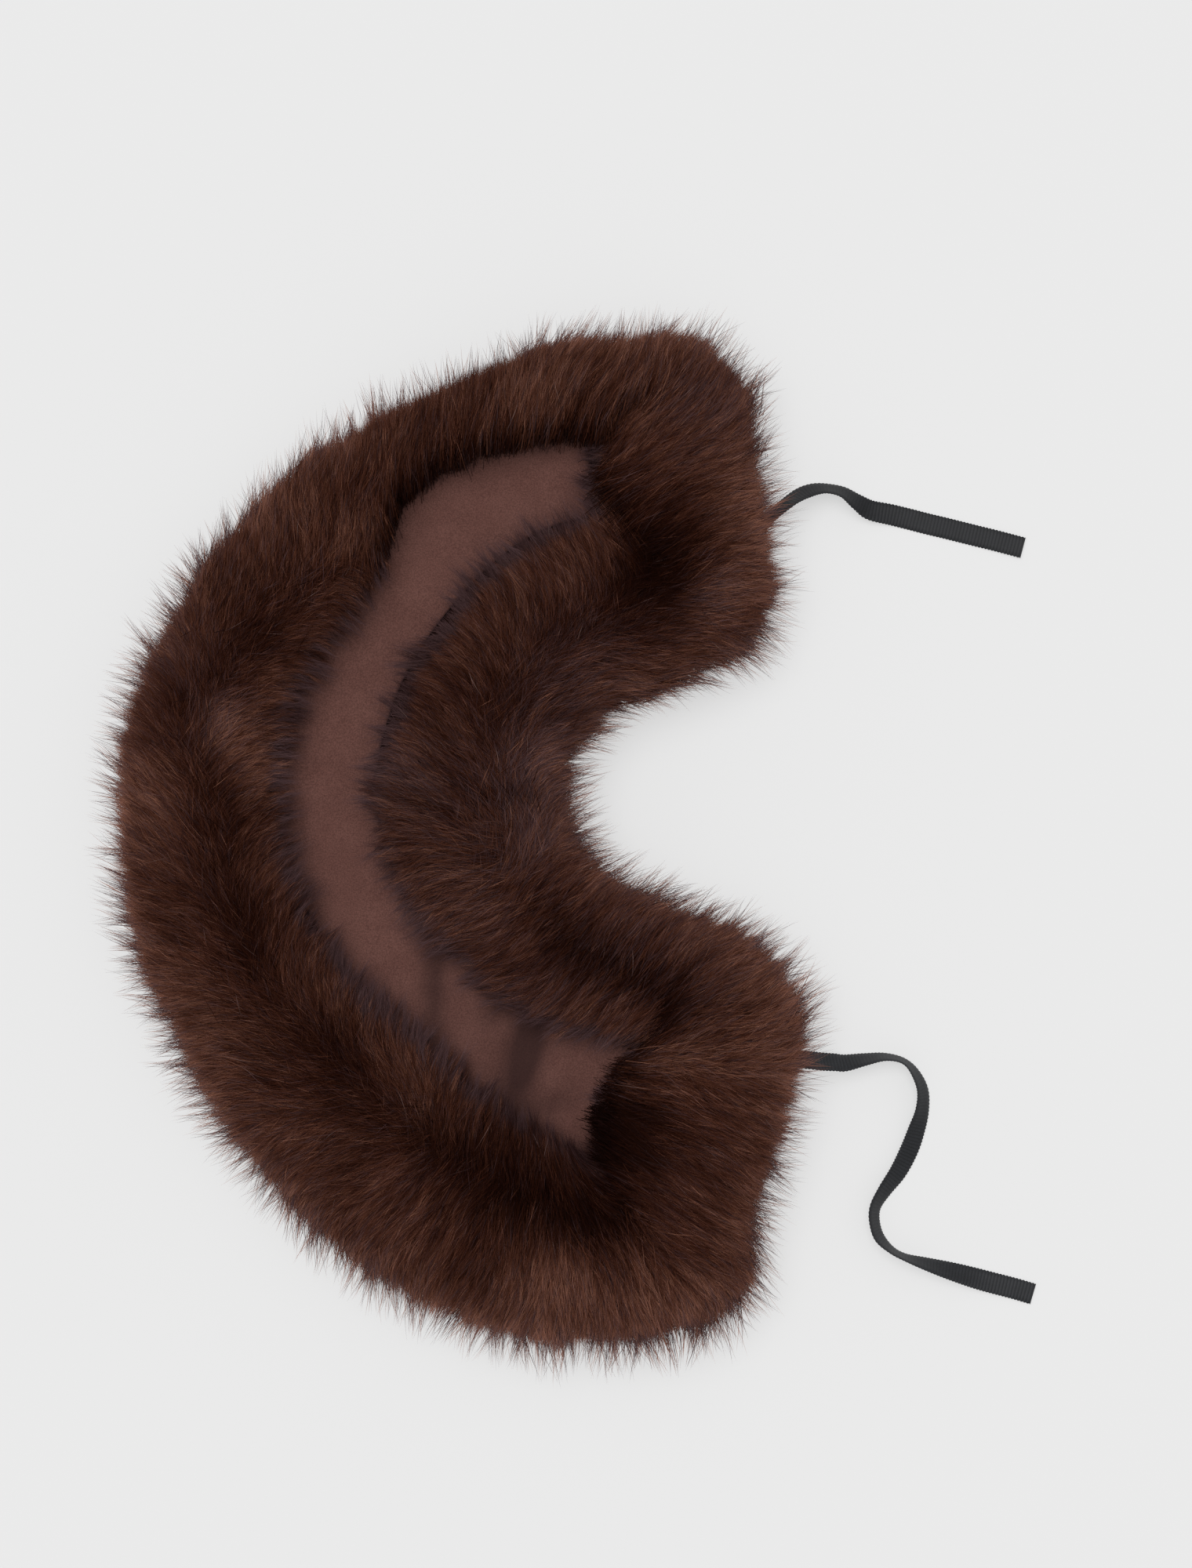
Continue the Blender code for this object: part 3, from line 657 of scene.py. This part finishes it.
def joined(parts):
    # one set of arrays from several, each part's corners counted on from the part before
    starts = np.cumsum([0] + [len(points) for points, *_ in parts])
    points, corners, sizes, uv = zip(*parts)
    corners = [numbers + start for numbers, start in zip(corners, starts)]
    return tuple(np.concatenate(arrays) for arrays in (points, corners, sizes, uv))


def addObject(name, data):
    # a new object in the scene
    added = bpy.data.objects.new(name, data)
    bpy.context.scene.collection.objects.link(added)
    return added


def fill(target, name, values, kind=np.float32):
    # one property of all of a mesh's points, corners or faces, from an array
    target.foreach_set(name, np.asarray(values, kind).ravel())


def meshPiece(name, arrays, material, marks=None):
    # a mesh straight from arrays: points, the faces' corners one after the other, their sizes, UVs.
    # marks is a number for each point that the material reads.
    points, corners, sizes, *uv = arrays
    mesh = bpy.data.meshes.new(name)
    mesh.vertices.add(len(points))
    fill(mesh.vertices, "co", points)
    mesh.loops.add(len(corners))
    fill(mesh.loops, "vertex_index", corners, np.int32)
    mesh.polygons.add(len(sizes))
    fill(mesh.polygons, "loop_start", np.cumsum(sizes) - sizes, np.int32)
    mesh.update(calc_edges=True)
    mesh.shade_smooth()
    if uv:
        fill(mesh.uv_layers.new(name="OFBake").data, "uv", uv[0])
    if marks is not None:
        fill(mesh.attributes.new("mark", "FLOAT", "POINT").data, "value", marks)
    mesh.materials.append(material)
    piece = addObject(name, mesh)
    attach(piece, "root")
    return piece


def rampNode(tree, stops, source):
    # a colour ramp from positions and their colours
    ramp = tree.nodes.new("ShaderNodeValToRGB")
    ramp.color_ramp.interpolation = "EASE"
    while len(ramp.color_ramp.elements) < len(stops):
        ramp.color_ramp.elements.new(0.5)
    for element, (position, colour) in zip(ramp.color_ramp.elements, stops):
        element.position = position
        element.color = (*colour, 1.0)
    tree.links.new(source, ramp.inputs["Fac"])
    return ramp.outputs["Color"]


def mixNode(tree, kind, first, second, factor=1.0):
    # a colour mix of two colours or sockets
    mix = tree.nodes.new("ShaderNodeMix")
    mix.data_type = "RGBA"
    mix.blend_type = kind
    for name, value in (("A", first), ("B", second), ("Factor", factor)):
        target = next(socket for socket in mix.inputs if socket.name == name and socket.enabled)
        if isinstance(value, bpy.types.NodeSocket):
            tree.links.new(value, target)
        else:
            target.default_value = value
    return next(socket for socket in mix.outputs if socket.enabled)


def setInputs(node, values):
    # fixed values for a node's inputs, by their names
    for name, value in values.items():
        node.inputs[name].default_value = value


def newMaterial(name, roughness, specular):
    # a material with its tree and its shader
    material = bpy.data.materials.new(name)
    material.use_nodes = True
    shader = material.node_tree.nodes["Principled BSDF"]
    setInputs(shader, {"Roughness": roughness, "Specular IOR Level": specular})
    return material, material.node_tree, shader


furFinish = {
    "tones": (  # the wool from its darkest hairs to the rusty ones, then the guard hairs, purple-grey partly of their own and partly as painted sheen, then strays
        (0.0, (0.014, 0.004, 0.002)), (0.2, (0.044, 0.013, 0.007)), (0.4, (0.136, 0.050, 0.030)),
        (0.6, (0.366, 0.167, 0.112)), (0.66, (0.366, 0.167, 0.112)), (0.71, (0.022, 0.008, 0.007)),
        (0.9, (0.130, 0.073, 0.074)), (1.0, (0.22, 0.14, 0.12)),
    ),
    "lengthwise": (  # painted shade from the root, dark where the pile hides it, to the tip, with a painted bluish sheen at the very tip
        (0.0, (0.10, 0.08, 0.08)), (0.45, (0.36, 0.32, 0.30)), (0.8, (1, 1, 1)), (1.0, (1, 1, 1.08)),
    ),
    "roughness": 0.5,
    "specular": 0.01,
}


def furMaterial(name, finish):
    # the hair's own UV carries its tone across and the way from root to tip up
    material, tree, shader = newMaterial(name, finish["roughness"], finish["specular"])
    place = tree.nodes.new("ShaderNodeUVMap")
    place.uv_map = "OFBake"
    split = tree.nodes.new("ShaderNodeSeparateXYZ")
    tree.links.new(place.outputs["UV"], split.inputs[0])
    tone = rampNode(tree, finish["tones"], split.outputs["X"])
    # the lengthwise ramp paints shade at the roots and a bluish sheen at the tips
    lengthwise = rampNode(tree, finish["lengthwise"], split.outputs["Y"])
    tree.links.new(mixNode(tree, "MULTIPLY", tone, lengthwise), shader.inputs["Base Color"])
    return material


furLook = furMaterial("deepPileFur", furFinish)

furPieces = (
    # piece, the node it stands for, first and last station
    ("fur_outer_upper", "fur_turnover_outer", (mitres[3] - stationCount, 18)),
    ("fur_outer_back", "fur_turnover_outer", (18, 39)),
    ("fur_outer_lower", "fur_turnover_outer", (39, mitres[0])),
    ("fur_end_lower", "fur_turnover_end_lower", (mitres[0], mitres[1])),
    ("fur_neck_lower", "fur_turnover_neck", (mitres[1], 98)),
    ("fur_neck_upper", "fur_turnover_neck", (98, mitres[2])),
    ("fur_end_upper", "fur_turnover_end_upper", (mitres[2], mitres[3])),
)
backing = {
    "insetOutside": 24 * mm,  # the cloth under the pile, from the tips
    "insetLining": 14 * mm,
    "depth": 11 * mm,
    "least": 0.2 * mm,  # kept where a roll is lower
    "tone": ((0.3, 0.06), 0.02),  # across and up in the hair's tones, in the roots' painted shade, and its spread
    "shareSteps": 15,
    "rim": ((46 * mm, 1.4 * mm), (32 * mm, 4 * mm), (27 * mm, 10 * mm), (25 * mm, 15.6 * mm)),
}


def thinning(station):
    # how far a backing draws in where the pile is thin
    return np.maximum(readRound(thinRound, station), 0) * mm


def backingUv(corners):
    # one dark tone of the hair, the roots' painted shade, a little uneven, at each corner of the cloth
    middle, spread = backing["tone"]
    return np.array(middle) + np.random.default_rng(1).uniform(-spread, spread, (len(corners), 2))


def tubeFaces(rows, around, turnedOver=False):
    # the faces between rings of points, a quad from each pair of points to the next ring, and the
    # first and the last ring filled: their corners one after the other, and their sizes
    i, j = gridOf(np.arange(rows - 1), np.arange(around))
    here, ahead, after = i * around, (i + 1) * around, (j + 1) % around
    quads = np.column_stack([here + j, here + after, ahead + after, ahead + j])
    ends = np.array([np.arange(around)[::-1], (rows - 1) * around + np.arange(around)])
    if turnedOver:
        quads, ends = quads[:, [0, 3, 2, 1]], ends[:, ::-1]
    return np.concatenate([quads.ravel(), ends.ravel()]), np.append(np.full(len(quads), 4), [around, around])


def rollBacking(firstStation, lastStation):
    # the cloth under a roll: the roll's own section drawn in at both sides, lowered and closed
    # underneath, carried along the stations, with its two ends closed
    stations = np.linspace(firstStation, lastStation, int(lastStation - firstStation) + 1)
    shares = np.linspace(0, 1, backing["shareSteps"])
    s, q = gridOf(stations, shares)
    row = atStation(loop, s)
    distance, level = rollSurface(row, q)
    base = cut["foldHeight"] + cut["seamGap"]
    insetOutside = backing["insetOutside"] + thinning(s)
    distance = insetOutside + distance * (row[:, 4] - insetOutside - backing["insetLining"]) / row[:, 4]
    lowered = base + np.maximum(level - base - backing["depth"], backing["least"])
    level = np.where((q <= 0) | (q >= 1), base, lowered)
    corners, sizes = tubeFaces(len(stations), len(shares), turnedOver=True)
    return inwardFrom(row, distance, level), corners, sizes, backingUv(corners)


def undersideBacking():
    # the cloth of the outer panel: rings round the whole outline at a few insets and heights, the
    # lowest and the highest one filled
    stations = np.arange(stationCount, dtype=float)
    row = atStation(loop, stations)
    rings = [inwardFrom(row, inset + thinning(stations), np.full(stationCount, level))
             for inset, level in backing["rim"]]
    corners, sizes = tubeFaces(len(rings), stationCount)
    return np.concatenate(rings), corners, sizes, backingUv(corners)


random = np.random.default_rng(growth["seed"])
areas = [surfaceCells(rollSurface, *stretch)[2].sum() for _, _, stretch in furPieces]
for (name, node, stretch), area in zip(furPieces, areas):
    parts = [rollBacking(*stretch)]
    for coat in furCoats:
        count = int(coat[0] * area / sum(areas))
        parts.append(hairStrands(*combed(rollSurface, rollLie, stretch, coat, count, random)))
    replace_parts(meshPiece(name, joined(parts), furLook), node)
    print("stage:", name, sum(int((part[2] - 2).sum()) for part in parts), "triangles")

parts = [undersideBacking()]
for coat in furCoats[:2]:
    count = int(coat[0] * growth["undersideShare"])
    hairs = combed(undersideSurface, undersideLie, (0, stationCount), coat, count, random, facing=-1.0)
    parts.append(hairStrands(*hairs))
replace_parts(meshPiece("fur_underside", joined(parts), furLook), "fur_outer_panel")
print("stage: fur_underside", sum(int((part[2] - 2).sum()) for part in parts), "triangles")


# the lining
liningLook = {
    "alongSteps": 230,
    "acrossSteps": 34,
    "fadeAcross": 0.16,  # share of the width at an edge
    "fadeEnd": 14 * mm,
    "tuck": 5 * mm,  # under the hair
    "endTuck": 4 * mm,
    "cornerReach": (2.45, 0.45, 6 * mm),  # section, spread, reach added there
    "flatWidth": 67 * mm,
    "flatLength": 428 * mm,
    "flatArea": 0.0238,
    "fullShadeDepth": 4,  # mm deep, where the painted shade is as dark as it gets
    # how dark the troughs' painted shade gets
    "troughShadeStrength": 0.85,
    "finish": (0.9, 0.15),  # roughness and specular
    "clouds": ((0.32, (0.122, 0.053, 0.043)), (0.68, (0.143, 0.064, 0.052))),
    "speckle": ((0.30, (0.72, 0.70, 0.70)), (0.70, (1.25, 1.27, 1.27))),
    # colour of the painted shade in the troughs
    "troughShadeColour": (0.030, 0.013, 0.012),
    "grainScales": (1500, 70),  # a metre, of the grain and of the clouds
    "nap": (0.25 * mm, 0.5),  # height and strength
}

# folds and troughs of the lining: plan x and y of the middle, length, width and height in mm, turn in
# degrees from +x; a trough has a height under 0 and is painted dark, as shade and as pressed nap
liningCreases = np.array([
    (12, -92, 130, 46, 3.0, -58), (7, -88, 56, 15, 1.6, 80), (-27, -58, 50, 15, 1.2, 84),
    (45, -104, 44, 15, 1.8, 74), (-12, -68, 66, 12, -3.0, 88), (31, -94, 62, 17, -5.0, 76),
    (42, -122, 30, 13, -1.6, 24), (17, -78, 22, 10, -1.3, 40), (20, 152, 70, 26, 1.0, 30),
    (24, -104, 110, 60, -0.8, -58),
])


def liningPlan(along, across, narrower=0.0):
    # plan point of the lining: a share of the way from its outer side to its neck side
    hidden = cut["hairOverhang"] - cut["liningInset"] + liningLook["tuck"] - narrower
    middle, spread, further = liningLook["cornerReach"]
    outer = turnShare(along, "outer", hidden + further * np.exp(-(((along - middle) / spread) ** 2)))
    neck = turnShare(along, "neck", hidden)
    return acrossBand(along, outer + (neck - outer) * across) - collarCentre


def creaseForm(plan, across, toEnd):
    # bell-shaped folds and troughs, each along its own turned axis, level at the lining's own edges,
    # and how deep in a trough each point lies, from 0 to 1, which sets the trough's painted shade
    height, troughShade = np.zeros(len(plan)), np.zeros(len(plan))
    for x, y, length, width, high, turn in liningCreases:
        away = plan + collarCentre - np.array([x, y]) * mm
        run = math.radians(turn)
        lengthwise = away @ (math.cos(run), math.sin(run)) / (length * mm / 2)
        crosswise = away @ (-math.sin(run), math.cos(run)) / (width * mm / 2)
        bell = np.exp(-(lengthwise**2) - crosswise**2)
        height += high * mm * bell
        troughShade += bell * max(-high, 0) / liningLook["fullShadeDepth"]
    fromEdge = np.clip(np.minimum(across, 1 - across) / liningLook["fadeAcross"], 0, 1)
    held = fromEdge * np.clip(toEnd / liningLook["fadeEnd"], 0, 1)
    return np.maximum(height, 0) * held, np.clip(troughShade, 0, 1)


def liningSheet():
    # a grid over the lining, its ends aslant and its corners rounded, raised by the creases
    corner = collarCorners[:, 2]
    hidden = (cut["hairOverhang"] - cut["liningEndInset"] + liningLook["endTuck"]) / cut["sectionSpacing"]
    rows, wide = liningLook["alongSteps"] + 1, liningLook["acrossSteps"] + 1
    t, across = gridOf(np.linspace(0, 1, rows), np.linspace(0, 1, wide))
    upper = corner[0] + (corner[3] - corner[0]) * across - hidden
    lower = corner[1] + (corner[2] - corner[1]) * across + hidden
    along = upper + (lower - upper) * t
    toEnd = np.minimum(t, 1 - t) * (lower - upper).mean() * cut["sectionSpacing"]
    short = np.maximum(cut["liningCorner"] - toEnd, 0)
    rounding = cut["liningCorner"] - np.sqrt(cut["liningCorner"] ** 2 - short**2)
    plan = liningPlan(along, across, rounding)
    raised, troughShade = creaseForm(plan, across, toEnd)
    level = cut["foldHeight"] + cut["seamGap"] + raised
    i, j = gridOf(np.arange(rows - 1), np.arange(wide - 1))
    start = i * wide + j
    quads = np.column_stack([start, start + wide, start + wide + 1, start + 1])
    return (np.column_stack([plan, level]), quads.ravel(), np.full(len(quads), 4)), troughShade


def clothMaterial(name, look):
    # grain of short fibres and soft clouds on the piece's own coordinates, in metres, and the piece's
    # marks: ribs that a ramp tints, darker between them as painted shade, or troughs that go over to a
    # darker colour as painted shade
    material, tree, shader = newMaterial(name, *look["finish"])
    place = tree.nodes.new("ShaderNodeTexCoord").outputs["Object"]
    grains = []
    for scale, detail in zip(look["grainScales"], (3, 5)):
        noise = tree.nodes.new("ShaderNodeTexNoise")
        setInputs(noise, {"Scale": scale, "Detail": detail, "Roughness": 0.65})
        tree.links.new(place, noise.inputs["Vector"])
        grains.append(noise.outputs["Fac"])
    speckle, clouds = rampNode(tree, look["speckle"], grains[0]), rampNode(tree, look["clouds"], grains[1])
    tone = mixNode(tree, "MULTIPLY", clouds, speckle)
    marks = tree.nodes.new("ShaderNodeAttribute")
    marks.attribute_name = "mark"
    if "ribs" in look:
        tone = mixNode(tree, "MULTIPLY", tone, rampNode(tree, look["ribs"], marks.outputs["Fac"]))
    else:
        tone = mixNode(tree, "MIX", tone, (*look["troughShadeColour"], 1), marks.outputs["Fac"])
    tree.links.new(tone, shader.inputs["Base Color"])
    bump = tree.nodes.new("ShaderNodeBump")
    setInputs(bump, dict(zip(("Distance", "Strength"), look["nap"])))
    tree.links.new(grains[0], bump.inputs["Height"])
    tree.links.new(bump.outputs["Normal"], shader.inputs["Normal"])
    return material


# the troughs' painted shade goes to the material as each point's mark
liningArrays, troughShade = liningSheet()
suedette = clothMaterial("liningSuedette", liningLook)
troughShade *= liningLook["troughShadeStrength"]
lining = meshPiece("lining_cloth", liningArrays, suedette, troughShade)
wall = lining.modifiers.new("cloth wall", "SOLIDIFY")
wall.thickness = cut["liningThickness"]
wall.offset = 1.0
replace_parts(lining, "lining")
print("stage: lining")


# the ribbon ties
ribbon = {
    "halfWidth": 5 * mm,
    "halfThickness": 0.30 * mm,
    "ribPitch": 1.55 * mm,
    "ribHeight": 0.11 * mm,
    "scallop": 0.42 * mm,  # how far the edge draws in between two ribs
    "stepsPerRib": 6,
    "tableClearance": 0.1 * mm,
    "solidThickness": 1 * mm,
    "ribFullness": 0.7,  # under 1 gives broad ribs with narrow gaps
    "routeSteps": 40,  # from one row of a route to the next
    "finish": (0.55, 0.35),  # roughness and specular
    "ribs": ((0.15, (0.0065, 0.0070, 0.0088)), (0.85, (0.0155, 0.0167, 0.0198))),  # between them, darker as painted shade in the gaps, and on them
    "speckle": ((0.30, (0.70, 0.70, 0.70)), (0.70, (1.30, 1.30, 1.30))),
    "clouds": ((0.35, (0.9, 0.9, 0.9)), (0.75, (1.2, 1.2, 1.2))),
    "grainScales": (2600, 160),
    "nap": (0.1 * mm, 0.4),
}

# middle x and y in mm, tilt about the run with the right-hand edge up in degrees, lift in mm
upperTie = np.array([
    (136.0, 142.0, 50, 10), (143.0, 149.6, 53, 10), (149.8, 155.1, 54, 8.8), (154.8, 158.7, 51, 6.4),
    (159.5, 161.2, 49, 4.6), (164.5, 162.7, 54, 3.2), (170, 162.9, 60, 2.4), (177, 161.2, 55, 1.7),
    (183.6, 156.8, 38, 1.0), (189.8, 153.3, 17, 0.4), (199.7, 151.2, 4, 0.1), (208, 149.2, 0, 0),
    (216.1, 147.1, 0, 0), (224.5, 145.1, 0, 0), (232.5, 143.1, 0, 0), (240.5, 141.1, 0, 0.1),
    (248.6, 139.1, 1, 0.2), (261, 135.8, 2, 0.3),
])
lowerTie = np.array([
    (146.0, -100.2, 36, 11), (154.5, -101.0, 38, 11), (162.8, -101.8, 38, 10), (167, -102.4, 38, 8),
    (172.8, -102.9, 40, 5.6), (178.1, -103.3, 44, 3.4), (187.2, -101.8, 60, 1.4), (196.7, -100.7, 74, 0.4),
    (205, -102.6, 77, 0), (210.4, -108, 66, 0), (214, -116.3, 55, 0), (213.8, -125.6, 46, 0),
    (211.2, -135, 32, 0), (207.9, -144.2, 25, 0), (202.9, -154, 30, 0), (196.5, -162.8, 44, 0),
    (192.2, -170.1, 54, 0), (191.6, -176.7, 58, 0), (193.8, -184.3, 61, 0), (199.4, -190.2, 74, 0),
    (205.9, -193.8, 76, 0), (215.4, -196.9, 60, 0), (229.2, -201, 36, 0), (243.1, -205.1, 14, 0),
    (257, -208.8, 6, 0), (265.7, -211.4, 2, 0),
])


def ribbonRoute(table):
    # the ribbon's middle and the directions over its width and its thickness, at even steps, a few
    # for each rib
    fine = smoothBetween(table, np.linspace(0, len(table) - 1, ribbon["routeSteps"] * len(table)))
    travelled = np.append(0, np.cumsum(np.linalg.norm(np.diff(fine[:, :2], axis=0), axis=1))) * mm
    count = int(travelled[-1] / ribbon["ribPitch"]) * ribbon["stepsPerRib"] + 1
    even = np.linspace(0, travelled[-1], count)
    x, y, tilt, lift = (np.interp(even, travelled, column) for column in fine.T)
    tilt = np.radians(tilt)
    lowest = ribbon["halfWidth"] * np.abs(np.sin(tilt)) + ribbon["solidThickness"] / 2 * np.abs(np.cos(tilt))
    level = lowest + np.maximum(lift, 0) * mm + ribbon["tableClearance"]
    middle = np.column_stack([x * mm - collarCentre[0], y * mm - collarCentre[1], level])
    run = np.gradient(middle, axis=0)
    run /= np.linalg.norm(run, axis=1)[:, None]
    right = np.cross(run, (0, 0, 1))
    right /= np.linalg.norm(right, axis=1)[:, None]
    wide = right * np.cos(tilt)[:, None] + np.cross(right, run) * np.sin(tilt)[:, None]
    return middle, wide, np.cross(wide, run), even


def ribbonMesh(table):
    # a flat section carried along the route, its thickness and its width rising and falling with
    # each rib, closed at both ends
    middle, wide, thick, even = ribbonRoute(table)
    rib = np.abs(np.sin(math.pi * even / ribbon["ribPitch"])) ** ribbon["ribFullness"]
    halfWidth = ribbon["halfWidth"] - ribbon["scallop"] * (1 - rib)
    half = ribbon["halfThickness"] - ribbon["ribHeight"] * (1 - rib)
    side = np.array([(-1, -0.6), (-0.97, -1), (-0.5, -1), (0, -1), (0.5, -1), (0.97, -1), (1, -0.6)])
    section = np.concatenate([side, -side])
    offset = (wide[:, None] * (section[None, :, :1] * halfWidth[:, None, None])
              + thick[:, None] * (section[None, :, 1:] * half[:, None, None]))
    points = (middle[:, None] + offset).reshape(-1, 3)
    return (points, *tubeFaces(len(middle), len(section))), middle, np.repeat(rib, len(section))


petersham = clothMaterial("petershamRibbon", ribbon)
# the upper tie's ribs at half strength paint it darker all over, as shade on the same ribbon
for name, table, paintedLight in (("tie_upper", upperTie, 0.5), ("tie_lower", lowerTie, 1.0)):
    arrays, middle, rib = ribbonMesh(table)
    tie = meshPiece(name + "_ribbon", arrays, petersham, rib * paintedLight)
    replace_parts(tie, name)


# the stage, light and camera
stageLook = {
    "floorColour": (0.30, 0.30, 0.30, 1.0),
    "floorGlow": 0.53,  # keeps the shadows on it faint
    "skyStrength": 0.48,
    "sunStrength": 1.62,
    "sunWidth": 50,  # degrees across, for soft shadows
    "sunHeight": 72,  # degrees over the floor
    "sunFrom": 130,  # degrees from +X, the upper left
    "viewFrom": (0.0614, 0.0278, 1.7236),  # straight down on the middle of the frame
    "lens": 85,
    "sensor": 36,
}

floorMesh = bpy.data.meshes.new("floor")
floorMesh.from_pydata([(-3, -3, 0), (3, -3, 0), (3, 3, 0), (-3, 3, 0)], [], [(0, 1, 2, 3)])
floorLook, _, floorShader = newMaterial("paleFloor", 0.9, 0.2)
setInputs(floorShader, {"Base Color": stageLook["floorColour"], "Emission Color": (1, 1, 1, 1),
                        "Emission Strength": stageLook["floorGlow"]})
floorLook.cycles.emission_sampling = "NONE"
floorMesh.materials.append(floorLook)
floor = addObject("floor", floorMesh)

world = bpy.data.worlds.new("studio")
scene = bpy.context.scene
scene.world = world
world.use_nodes = True
setInputs(world.node_tree.nodes["Background"], {"Color": (1, 1, 1, 1), "Strength": stageLook["skyStrength"]})

sunData = bpy.data.lights.new("softLight", "SUN")
sunData.energy = stageLook["sunStrength"]
sunData.angle = math.radians(stageLook["sunWidth"])
sun = addObject("softLight", sunData)
sun.rotation_euler = (0, math.radians(90 - stageLook["sunHeight"]), math.radians(stageLook["sunFrom"]))
scene.view_settings.view_transform = "Standard"
scene.cycles.denoising_prefilter = "NONE"  # so that single hairs stay sharp

cameraData = bpy.data.cameras.new("camera")
cameraData.lens = stageLook["lens"]
cameraData.sensor_width = stageLook["sensor"]
camera = addObject("camera", cameraData)
camera.location = stageLook["viewFrom"]
scene.camera = camera
